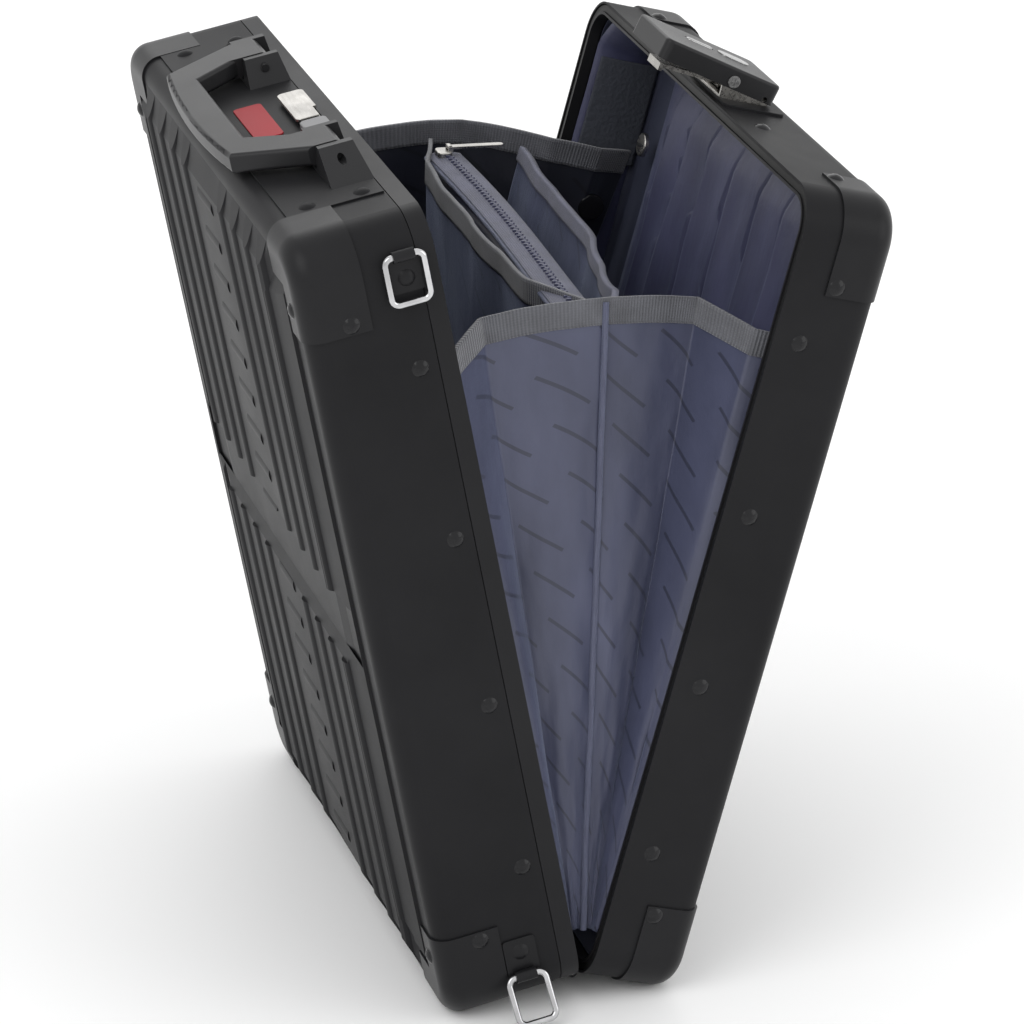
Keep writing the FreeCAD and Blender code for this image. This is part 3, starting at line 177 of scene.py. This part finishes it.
def bare_metal(name, colour, rough, streak=(1, 1, 1), grain=500.0):
    """Plated or brushed metal with fine streaks and a little tarnish."""
    m, tree, shader = new_material(name)
    coords = node(tree, "ShaderNodeTexCoord").outputs["Object"]
    streaks = noise_at(tree, coords, grain, 3.0, 0.6, streak)
    clouds = noise_at(tree, coords, 60.0, 4.0)
    dull = tuple(c * 0.72 for c in colour)
    tree.links.new(ramp(tree, clouds, [(0.35, dull), (0.65, colour)]), shader.inputs["Base Color"])
    tree.links.new(ramp(tree, streaks, [(0.3, (rough * 0.7,) * 3), (0.7, (rough * 1.5,) * 3)]),
                   shader.inputs["Roughness"])
    bump(tree, shader, streaks, 0.00003, 0.5)
    shader.inputs["Metallic"].default_value = 1.0
    return m


def weave_height(tree, coords, pitch):
    """Over-and-under threads in two directions of a cloth's own UV map, in metres."""
    split = node(tree, "ShaderNodeSeparateXYZ")
    tree.links.new(coords, split.inputs[0])
    turn = 2 * math.pi / pitch
    warp = math_node(tree, "SINE", math_node(tree, "MULTIPLY", split.outputs[0], turn))
    weft = math_node(tree, "SINE", math_node(tree, "MULTIPLY", split.outputs[1], turn))
    return math_node(tree, "MULTIPLY", warp, weft)


def satin(name, colour, dark, flecks=True, source="UV", plane=(0, 1)):
    """Slate-blue satin: woven sheen, darker slanted flecks and soft crumples, bumped into the surface and
    painted into the colour as patches of shade.
    """
    m, tree, shader = new_material(name)
    coords = node(tree, "ShaderNodeTexCoord").outputs[source]
    split = node(tree, "ShaderNodeSeparateXYZ")
    tree.links.new(coords, split.inputs[0])
    u, v = split.outputs[plane[0]], split.outputs[plane[1]]
    slant = math.radians(-38)
    run = math_node(tree, "ADD", math_node(tree, "MULTIPLY", u, math.cos(slant)),
                    math_node(tree, "MULTIPLY", v, math.sin(slant)))
    rise = math_node(tree, "SUBTRACT", math_node(tree, "MULTIPLY", v, math.cos(slant)),
                     math_node(tree, "MULTIPLY", u, math.sin(slant)))
    row = math_node(tree, "DIVIDE", rise, 0.0165)
    row_number = math_node(tree, "FLOOR", row)
    across = math_node(tree, "ABSOLUTE", math_node(tree, "SUBTRACT", math_node(tree, "FRACT", row), 0.5))
    shift = math_node(tree, "MULTIPLY", row_number, 0.43)
    dash = math_node(tree, "FRACT", math_node(tree, "ADD", math_node(tree, "DIVIDE", run, 0.046), shift))
    length = math_node(tree, "ABSOLUTE", math_node(tree, "SUBTRACT", dash, 0.5))
    thin = math_node(tree, "LESS_THAN", across, 0.055)
    short = math_node(tree, "LESS_THAN", length, 0.29)
    fleck = math_node(tree, "MULTIPLY", thin, short)
    # Painted shade: crumple-shaped patches darken the colour towards the dark tone.
    crumple = noise_at(tree, coords, 13.0, 5.0, 0.55, (1.6, 0.7, 1.0))
    tone = ramp(tree, crumple, [(0.25, dark), (0.75, colour)])
    if flecks:
        mix = node(tree, "ShaderNodeMix", data_type="RGBA")
        tree.links.new(math_node(tree, "MULTIPLY", fleck, 0.62), mix.inputs[0])
        tree.links.new(tone, mix.inputs[6])
        mix.inputs[7].default_value = (*(c * 0.32 for c in dark), 1.0)
        tone = mix.outputs[2]
    tree.links.new(tone, shader.inputs["Base Color"])
    folds = noise_at(tree, coords, 34.0, 6.0, 0.6, (1.0, 0.45, 1.0))
    under = node(tree, "ShaderNodeBump", in_Strength=0.55, in_Distance=0.0018)
    tree.links.new(folds, under.inputs["Height"])
    bump(tree, shader, weave_height(tree, coords, 0.0007), 0.00007, 0.5, under.outputs[0])
    shader.inputs["Roughness"].default_value = 0.42
    shader.inputs["Specular IOR Level"].default_value = 0.55
    shader.inputs["Sheen Weight"].default_value = 0.35
    shader.inputs["Sheen Roughness"].default_value = 0.35
    shader.inputs["Sheen Tint"].default_value = (0.6, 0.68, 0.9, 1.0)
    return m


def ribbon(name, colour, pitch=0.0013):
    """Grosgrain tape: fine cross ribs, on its UV map in metres."""
    m, tree, shader = new_material(name)
    coords = node(tree, "ShaderNodeTexCoord").outputs["UV"]
    split = node(tree, "ShaderNodeSeparateXYZ")
    tree.links.new(coords, split.inputs[0])
    ribs = math_node(tree, "SINE", math_node(tree, "MULTIPLY", split.outputs[0], 2 * math.pi / pitch))
    cross = math_node(tree, "SINE", math_node(tree, "MULTIPLY", split.outputs[1], 2 * math.pi / 0.0011))
    mixed = math_node(tree, "MULTIPLY_ADD", cross, 0.35, ribs)
    patches = noise_at(tree, coords, 60.0, 4.0)
    # Partly painted shade: the colour darkens in the troughs between the cross ribs, on top of random
    # patches of tone.
    shade = math_node(tree, "MULTIPLY_ADD", mixed, 0.12, patches)
    darker = tuple(c * 0.55 for c in colour)
    tree.links.new(ramp(tree, shade, [(0.3, darker), (0.75, colour)]), shader.inputs["Base Color"])
    bump(tree, shader, mixed, 0.00018, 0.8)
    shader.inputs["Roughness"].default_value = 0.62
    shader.inputs["Sheen Weight"].default_value = 0.3
    return m


BLACK = (0.0105, 0.0105, 0.0115)
shell_coat = coated("satin_black_shell", BLACK, 0.46, spec=0.10)
cap_coat = coated("satin_black_cap", (0.0095, 0.0095, 0.0105), 0.36, spec=0.16)
rivet_coat = coated("black_rivet", (0.007, 0.007, 0.008), 0.16, grain=1200.0, spec=0.24)
frame_coat = coated("black_frame", (0.010, 0.010, 0.011), 0.42, spec=0.15)
moulding = coated("black_moulding", (0.012, 0.012, 0.013), 0.34, grain=1800.0, depth=0.0001, spec=0.22)
rubber = coated("black_rubber", (0.006, 0.006, 0.006), 0.5, grain=900.0, depth=0.0001, spec=0.3)
badge_red = coated("dark_red_enamel", (0.26, 0.012, 0.018), 0.45, grain=900.0, spec=0.15)
grey_mould = coated("grey_moulding", (0.16, 0.16, 0.165), 0.5, grain=1200.0)
nickel = bare_metal("satin_nickel", (0.46, 0.445, 0.42), 0.26, (1, 0.15, 1))
chrome = bare_metal("bright_chrome", (0.58, 0.58, 0.59), 0.13, (1, 1, 0.2), 240.0)
pewter = bare_metal("polished_pewter", (0.45, 0.45, 0.45), 0.22)
# BLUE is the satin's colour; DEEP is the darker tone that the painted crumple shade runs down to.
BLUE, DEEP = (0.073, 0.080, 0.138), (0.032, 0.036, 0.066)
gusset_satin = satin("fleck_satin", BLUE, DEEP)
pocket_satin = satin("pocket_satin", (0.070, 0.073, 0.142), (0.034, 0.036, 0.074), flecks=False)
# Partly painted shade: the pouch satin is much darker than the pocket satin, darkened to match the shade
# over the pouch deep in the case.
pouch_satin = satin("pouch_satin", (0.040, 0.042, 0.078), (0.018, 0.019, 0.038), flecks=False)
# Painted shade: the far gusset's satin is the same cloth as the near gusset's, darkened to stand in for the
# shade inside the case.
painted_shade_satin = satin("painted_shade_satin", (0.014, 0.015, 0.026), (0.006, 0.007, 0.012))
lining_cloth = satin("lining_cloth", (0.050, 0.054, 0.085), (0.026, 0.029, 0.050), flecks=False,
                     source="Object", plane=(1, 2))
grey_tape = ribbon("grey_grosgrain", (0.115, 0.118, 0.135))
blue_tape = ribbon("blue_zip_tape", (0.090, 0.095, 0.165), 0.0010)
loop_pile = coated("loop_pile", (0.050, 0.054, 0.066), 0.85, grain=420.0, depth=0.0012, spec=0.2)

FINISH = {
    "shell": shell_coat, "cap": cap_coat, "rivets": rivet_coat, "frame": frame_coat,
    "hinge_leaf": frame_coat, "pin": nickel, "pins": nickel, "lining": lining_cloth, "seal": rubber,
    "handle": moulding, "handle_bracket": moulding, "handle_plate": shell_coat, "name_plate": badge_red,
    "strike_plate": nickel, "locating_block": grey_mould, "latch_plate": shell_coat,
    "latch_frame": nickel, "latch_cover": moulding, "latch_hook": nickel, "latch_button": pewter,
    "latch_medallion": pewter, "key_plug": pewter, "ring_tab": cap_coat, "ring": chrome,
    "zip_slider": nickel, "zip_pull": nickel, "pocket_snap": nickel,
}


def finish_of(name):
    words = sorted((w for w in FINISH if w in name), key=len)
    return FINISH[words[-1]] if words else shell_coat


for name, obj in frame["nodes"].items():
    obj.data.materials.clear()
    obj.data.materials.append(finish_of(name))

# ---------------------------------------------------------------- making tools


def fresh():
    bpy.ops.object.select_all(action="DESELECT")


def named(name, material, smooth=True):
    obj = bpy.context.object
    obj.name = obj.data.name = name
    obj.data.materials.clear()
    obj.data.materials.append(material)
    if smooth:
        bpy.ops.object.shade_smooth()
    return obj


def modify(obj, kind, **settings):
    mod = obj.modifiers.new(kind.lower(), kind)
    for key, value in settings.items():
        setattr(mod, key, value)
    fresh()
    obj.select_set(True)
    bpy.context.view_layer.objects.active = obj
    bpy.ops.object.modifier_apply(modifier=mod.name)


def cloth_grid(name, material, columns, rows, place, size_uv, thickness=0.0007):
    """A sheet: a grid whose points are moved by place(s, t), with its UV map in metres of cloth."""
    fresh()
    bpy.ops.mesh.primitive_grid_add(x_subdivisions=columns, y_subdivisions=rows, size=1.0)
    obj = named(name, material)
    mesh = obj.data
    flat = {v.index: (v.co.x + 0.5, v.co.y + 0.5) for v in mesh.vertices}
    layer = mesh.uv_layers[0].data
    for loop in mesh.loops:
        s, t = flat[loop.vertex_index]
        layer[loop.index].uv = (s * size_uv[0], t * size_uv[1])
    for v in mesh.vertices:
        v.co = place(*flat[v.index])
    modify(obj, "SOLIDIFY", thickness=thickness, offset=0.0, use_even_offset=True)
    bpy.ops.object.shade_smooth()
    return obj


def tube_along(name, material, points, radius, sides=6):
    """A thin welt: a round section carried along a line of points, made a mesh."""
    curve = bpy.data.curves.new(name, "CURVE")
    curve.dimensions = "3D"
    spline = curve.splines.new("NURBS")
    spline.points.add(len(points) - 1)
    for p, co in zip(spline.points, points):
        p.co = (*co, 1.0)
    spline.order_u = 3
    spline.use_endpoint_u = True
    curve.bevel_depth = radius
    curve.bevel_resolution = sides // 2
    curve.use_fill_caps = True
    rod = bpy.data.objects.new(name + "_line", curve)
    bpy.context.collection.objects.link(rod)
    mesh = bpy.data.meshes.new_from_object(rod.evaluated_get(bpy.context.evaluated_depsgraph_get()))
    bpy.data.objects.remove(rod)
    obj = bpy.data.objects.new(name, mesh)
    bpy.context.collection.objects.link(obj)
    mesh.materials.clear()
    mesh.materials.append(material)
    for p in mesh.polygons:
        p.use_smooth = True
    return obj


# ---------------------------------------------------------------- gussets
# Each fold line of a gusset at its top edge: share of the cloth, angle about the hinge, place on Y.
NEAR_FOLDS = [(0.0, -17.0, -0.1745), (0.16, -10.1, -0.1690), (0.27, -6.4, -0.1370), (0.52, 4.4, -0.1300),
              (0.76, 12.7, -0.1230), (0.90, 15.4, -0.1640), (1.0, 20.5, -0.1735)]
FAR_FOLDS = [(0.0, -17.0, 0.1735), (0.2, -9.0, 0.1630), (0.42, 3.0, 0.1735), (0.52, 6.2, 0.1740),
             (0.76, 13.6, 0.1500), (0.88, 18.0, 0.1470), (1.0, 21.5, 0.1600)]
GUSSET_TOP, GUSSET_LOW = 0.354, 0.030
GUSSET_ROOT = 0.1745  # how far along the hinge a gusset gathers at its foot
TAPE = 0.0115


def gusset_point(folds, side, s, t, swell=0.0):
    """Cloth between its fold lines: bellied panels, creased lines, puckers that fade upwards."""
    angle, y = along(folds, s)
    reach = GUSSET_LOW + (GUSSET_TOP - GUSSET_LOW) * t
    root = side * GUSSET_ROOT
    y = root + (y - root) * (0.10 + 0.90 * t)
    key = [f[0] for f in folds]
    for a, b in zip(key, key[1:]):
        if a <= s <= b:
            belly = math.sin(math.pi * (s - a) / (b - a))
    crumple = noise.noise(Vector((s * 9 + side, t * 6.5, 3.1)))
    crumple += 0.5 * noise.noise(Vector((s * 22, t * 15, 7.7)))
    y += side * (0.0042 * belly * math.sin(math.pi * min(1.0, t * 1.1)) + 0.0022 * crumple * (1 - 0.5 * t))
    y += side * swell
    return fan(angle, y, reach)


def gusset(label, folds, side, cloth):
    width = 0.190
    body = cloth_grid("gusset_%s_cloth" % label, cloth, 150, 110,
                      lambda s, t: gusset_point(folds, side, s, t), (width, GUSSET_TOP - GUSSET_LOW))
    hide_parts("gusset_" + label)
    low = 1 - TAPE / (GUSSET_TOP - GUSSET_LOW)

    def tape_point(s, t):
        return gusset_point(folds, side, s, low + (1.006 - low) * t)

    tape = cloth_grid("gusset_%s_tape" % label, grey_tape, 150, 8, tape_point, (width, TAPE), 0.0021)
    # The far welt takes the gusset's own cloth, which on the far side is the painted-shade satin.
    welt = tube_along("gusset_%s_welt" % label, cloth if label == "far" else welt_satin,
                      [gusset_point(folds, side, 0.52, k / 20, 0.0012) for k in range(21)], 0.0017)
    for piece in (body, tape, welt):
        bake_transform(piece)


welt_satin = satin("welt_satin", (0.12, 0.13, 0.20), (0.07, 0.075, 0.125), flecks=False)
gusset("near", NEAR_FOLDS, -1, gusset_satin)
# The far gusset is the same satin as the near one, darkened into painted shade.
gusset("far", FAR_FOLDS, 1, painted_shade_satin)

# ---------------------------------------------------------------- zipped divider
POUCH_TOP, POUCH_LOW = 0.345, 0.070
pouch_low, pouch_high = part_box("zip_pouch")


def soft_pouch():
    """The padded pouch: a slab that swells under a little pressure, quilted along its seams."""
    fresh()
    bpy.ops.mesh.primitive_cube_add(size=1.0)
    obj = named("zip_pouch_body", pouch_satin)
    y0, y1 = pouch_low[1] + 0.003, pouch_high[1] - 0.003
    for v in obj.data.vertices:
        across = 0.0062 * (1 if v.co.x > 0 else -1)
        y = y1 if v.co.y > 0 else y0
        up = POUCH_TOP - 0.006 if v.co.z > 0 else POUCH_LOW + 0.003
        v.co = on_half(MID_LEAN, across, y, up)
    modify(obj, "REMESH", mode="VOXEL", voxel_size=0.0045)
    start = [v.co.copy() for v in obj.data.vertices]
    cloth = obj.modifiers.new("cloth", "CLOTH")
    cloth.settings.use_pressure = True
    cloth.settings.uniform_pressure_force = 4.0
    cloth.settings.effector_weights.gravity = 0.0
    for f in range(1, 21):
        bpy.context.scene.frame_set(f)
    modify_applied(obj, cloth)
    bpy.context.scene.frame_set(1)
    cap = 0.0042
    for v, p in zip(obj.data.vertices, start):
        move = v.co - p
        if move.length > cap:
            v.co = p + move * (cap / move.length)
    quilt_pouch(obj)
    modify(obj, "SUBSURF", levels=1, render_levels=1)
    bpy.ops.object.shade_smooth()
    return obj


def modify_applied(obj, mod):
    fresh()
    obj.select_set(True)
    bpy.context.view_layer.objects.active = obj
    bpy.ops.object.modifier_apply(modifier=mod.name)


def quilt_pouch(obj):
    """Puckers along the top seams and a soft wander of the whole pouch."""
    a = math.radians(MID_LEAN)
    normal = Vector((math.cos(a), 0, -math.sin(a)))
    rise = Vector((math.sin(a), 0, math.cos(a)))
    for v in obj.data.vertices:
        rel = v.co - HINGE
        up, across = rel.dot(rise), rel.dot(normal)
        near_top = steps(0.20, 0.33, up)
        pucker = math.sin(v.co.y * 2 * math.pi / 0.017 + 2 * noise.noise(Vector((v.co.y * 30, up * 8, 1))))
        fade = steps(0.25, 0.30, up) * (1 - steps(0.33, 0.342, up))
        v.co += normal * math.copysign(0.0011 * pucker * fade, across)
        v.co += normal * (0.006 * near_top * math.sin(v.co.y * 14 + 0.7) * 0.5)
        v.co += rise * 0.0016 * near_top * math.sin(v.co.y * 23)


pouch = soft_pouch()
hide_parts("zip_pouch")
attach(pouch, "divider")


def mid_point(across, y, up):
    return on_half(MID_LEAN, across + 0.003 * math.sin(y * 14 + 0.7) * steps(0.20, 0.33, up), y, up)


def leaf_sheet(name, node_name, top_keys, tape_material, round_edge):
    """A cloth leaf that hangs from its wandering top edge down to the hinge line."""
    top, low = 0.349, 0.062

    def place(s, t):
        angle, y = along(top_keys, s)
        base_angle = MID_LEAN + (1.4 if node_name.endswith("lid") else -1.6)
        lean = base_angle + (angle - base_angle) * (t ** 0.8)
        ripple = 0.0013 * math.sin(s * 11 + 2.5 * t) * t + 0.003 * noise.noise(Vector((s * 7, t * 4, 9.3)))
        p = fan(lean, y, low + (top - low) * t)
        return p + Vector((ripple, 0, 0))

    sheet = cloth_grid(name + "_cloth", gusset_satin, 110, 60, place, (0.30, top - low))
    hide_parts(node_name)
    strip = 1 - TAPE * (0.55 if round_edge else 1.0) / (top - low)
    tape = cloth_grid(name + "_tape", tape_material, 110, 6,
                      lambda s, t: place(s, strip + (1.005 - strip) * t), (0.30, TAPE),
                      0.0034 if round_edge else 0.0022)
    for piece in (sheet, tape):
        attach(piece, "divider")


leaf_sheet("divider_base", "divider_sheet_base",
           [(0.0, 2.6, 0.158), (0.2, 0.9, 0.120), (0.38, -0.1, 0.071), (0.55, -0.6, 0.012),
            (0.7, 0.1, -0.031), (0.85, 0.5, -0.078), (0.94, 2.2, -0.106), (1.0, 3.8, -0.124)],
           grey_tape, False)
leaf_sheet("divider_lid", "divider_sheet_lid",
           [(0.0, 10.6, 0.146), (0.3, 9.9, 0.069), (0.55, 8.6, -0.018), (0.75, 7.6, -0.066),
            (0.9, 6.7, -0.100), (1.0, 4.9, -0.124)],
           blue_tape, True)


def zip_strip():
    """The zip along the pouch's top: two tapes, welts, and rows of teeth."""
    y0, y1 = pouch_low[1] + 0.006, pouch_high[1] - 0.006
    for label, shift in (("base", -0.0052), ("lid", 0.0052)):
        def place(s, t, shift=shift):
            across = shift + (t - 0.5) * 0.0085
            y = y0 + (y1 - y0) * s
            lift = 0.0030 - 0.0016 * abs(across) / 0.009
            return mid_point(across, y, POUCH_TOP - 0.0024 + lift)
        tape = cloth_grid("zip_tape_" + label, blue_tape, 120, 6, place, (y1 - y0, 0.0085), 0.0008)
        welt = tube_along("pouch_welt_" + label, welt_satin,
                          [mid_point(shift * 1.75, y0 + (y1 - y0) * k / 30, POUCH_TOP - 0.0028)
                           for k in range(31)], 0.0015)
        for piece in (tape, welt):
            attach(piece, "divider")
    pitch = 0.0023
    count = int((y1 - y0) / pitch)
    bm = bmesh.new()
    for k in range(count):
        y = y0 + pitch * (k + 0.5)
        side = 0.0006 if k % 2 else -0.0006
        centre = mid_point(side, y, POUCH_TOP + 0.0012)
        made = bmesh.ops.create_cube(bm, size=1.0)
        bmesh.ops.scale(bm, vec=(0.0026, 0.0012, 0.0015), verts=made["verts"])
        bmesh.ops.rotate(bm, matrix=Matrix.Rotation(math.radians(MID_LEAN), 3, "Y"), verts=made["verts"],
                         cent=(0, 0, 0))
        bmesh.ops.translate(bm, vec=centre, verts=made["verts"])
    mesh = bpy.data.meshes.new("zip_teeth")
    bm.to_mesh(mesh)
    bm.free()
    teeth = bpy.data.objects.new("zip_teeth", mesh)
    bpy.context.collection.objects.link(teeth)
    mesh.materials.append(zip_blue)
    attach(teeth, "divider")


zip_blue = coated("blue_zip_coil", (0.060, 0.063, 0.11), 0.4, grain=900.0)
zip_strip()

# ---------------------------------------------------------------- lid pocket
LID_FLOOR = 0.0449
PLEATS = 9


def pocket_point(s, t):
    """Gathered cloth over the lid's floor: pleats that fan out and lean as they rise."""
    y = 0.140 - 0.302 * s
    up = 0.024 + 0.384 * t
    wander = 0.35 * math.sin(2.1 * t + 1.3 * s) + 0.5 * noise.noise(Vector((s * 3, t * 1.6, 4.4)))
    phase = s * PLEATS + wander
    frac = phase - math.floor(phase)
    pleat = (1 - frac) ** 1.5 - 0.75 * math.exp(-((frac - 0.05) / 0.04) ** 2)
    edge = min(1.0, s / 0.04, (1 - s) / 0.04) * min(1.0, t / 0.06, (1 - t) / 0.05)
    lift = 0.0022 + 0.0074 * edge * (0.25 + 0.75 * pleat * (0.55 + 0.45 * t))
    lift += 0.0016 * edge * noise.noise(Vector((s * 14, t * 9, 2.2)))
    return on_half(LID_LEAN, LID_FLOOR - lift, y, up)


pocket = cloth_grid("lid_pocket_cloth", pocket_satin, 260, 90, pocket_point, (0.46, 0.384), 0.0006)
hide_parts("lid_pocket")
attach(pocket, "lid")


def lid_wall_cloth():
    """Satin carried from the pocket up the lid's inner walls to the rim."""
    inset = 0.0085

    def place(s, t):
        corner = 0.016
        half_y = HALF_LENGTH - inset
        top = CASE_HEIGHT - inset
        path = [(-half_y, 0.012), (-half_y, top - corner), (-half_y + corner, top),
                (half_y - corner, top), (half_y, top - corner), (half_y, 0.012)]
        spans = [math.dist(a, b) for a, b in zip(path, path[1:])]
        goal = s * sum(spans)
        for (a, b), span in zip(zip(path, path[1:]), spans):
            if goal <= span or b == path[-1]:
                f = goal / span
                y, up = a[0] + (b[0] - a[0]) * f, a[1] + (b[1] - a[1]) * f
                break
            goal -= span
        ripple = 0.0012 * noise.noise(Vector((s * 40, t * 3, 5.5)))
        depth = 0.0062 + (LID_FLOOR - 0.0062 - 0.001) * t
        pull = 0.0035 * math.sin(math.pi * t)
        scale = 1 - (pull + ripple) / half_y
        return on_half(LID_LEAN, depth, y * scale, 0.2 + (up - 0.2) * scale)

    cloth = cloth_grid("lid_wall_cloth", pocket_satin, 220, 12, place, (1.1, 0.040), 0.0006)
    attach(cloth, "lid")


lid_wall_cloth()


def on_far_gusset(angle, reach, proud):
    """A point on the inner face of the far gusset's lid panel, at an angle round the hinge."""
    pairs = [(f[1], f[0]) for f in FAR_FOLDS]
    s = next(s0 + (s1 - s0) * (angle - a0) / (a1 - a0)
             for (a0, s0), (a1, s1) in zip(pairs, pairs[1:]) if a0 <= angle <= a1)
    p = gusset_point(FAR_FOLDS, 1, s, (reach - GUSSET_LOW) / (GUSSET_TOP - GUSSET_LOW))
    p.y -= proud
    return p


def loop_patch():
    """The dark pile patch on the lid's far wall above the gusset."""
    def place(s, t):
        y = HALF_LENGTH - 0.0118 - 0.001 * math.sin(math.pi * s)
        return on_half(LID_LEAN, LID_FLOOR - 0.002 - 0.034 * s, y, 0.340 + 0.058 * t)

    patch = cloth_grid("loop_patch", loop_pile, 24, 60, place, (0.034, 0.058), 0.0012)
    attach(patch, "lid")


def press_stud(name, material, place, radius, height):
    fresh()
    bpy.ops.mesh.primitive_cylinder_add(vertices=48, radius=radius, depth=height)
    stud = named(name, material)
    modify(stud, "BEVEL", width=height * 0.42, segments=4, limit_method="ANGLE")
    turn = Matrix.Rotation(math.radians(90), 3, "X")
    for v in stud.data.vertices:
        v.co = turn @ v.co + place
    return stud


loop_patch()
dark_stud = press_stud("dark_stud", rivet_coat, on_far_gusset(19.0, 0.322, 0.003), 0.0075, 0.003)
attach(dark_stud, "lid")

# ---------------------------------------------------------------- stage, light and camera


def studio():
    fresh()
    bpy.ops.mesh.primitive_plane_add(size=14.0, location=(0, 0, 0))
    floor = named("studio_floor", floor_paint(), False)
    world = bpy.data.worlds.new("studio_air")
    bpy.context.scene.world = world
    world.use_nodes = True
    air = world.node_tree.nodes["Background"]
    air.inputs["Color"].default_value = (1.0, 1.0, 1.0, 1.0)
    air.inputs["Strength"].default_value = 1.06
    add_light("key_panel", (-1.6, -1.2, 2.0), 1.6, 15.0)
    add_light("side_panel", (1.9, -1.4, 1.1), 1.5, 8.0)
    add_light("back_panel", (0.2, 2.0, 1.9), 1.8, 9.0)


def floor_paint():
    m, tree, shader = new_material("pale_floor")
    shader.inputs["Base Color"].default_value = (0.93, 0.93, 0.93, 1.0)
    shader.inputs["Roughness"].default_value = 0.6
    return m


def add_light(name, place, width, power):
    light = bpy.data.lights.new(name, "AREA")
    light.shape = "SQUARE"
    light.size = width
    light.energy = power
    obj = bpy.data.objects.new(name, light)
    obj.location = place
    aim = Vector((0, 0, 0.22)) - Vector(place)
    obj.rotation_euler = aim.to_track_quat("-Z", "Y").to_euler()
    bpy.context.collection.objects.link(obj)


studio()

CAMERA_PLACE = (-0.7256, -2.5743, 1.2736)
YAW, PITCH, ROLL = 0.27828, 0.38089, -0.0076
camera = bpy.data.cameras.new("camera")
camera.lens = 192.1
camera.sensor_width = 36.0
camera_obj = bpy.data.objects.new("camera", camera)
bpy.context.collection.objects.link(camera_obj)
turn = Matrix.Rotation(-YAW, 4, "Z") @ Matrix.Rotation(math.pi / 2 - PITCH, 4, "X")
turn = turn @ Matrix.Rotation(ROLL, 4, "Z")
camera_obj.matrix_world = Matrix.Translation(CAMERA_PLACE) @ turn
bpy.context.scene.camera = camera_obj
bpy.context.scene.view_settings.view_transform = "Standard"
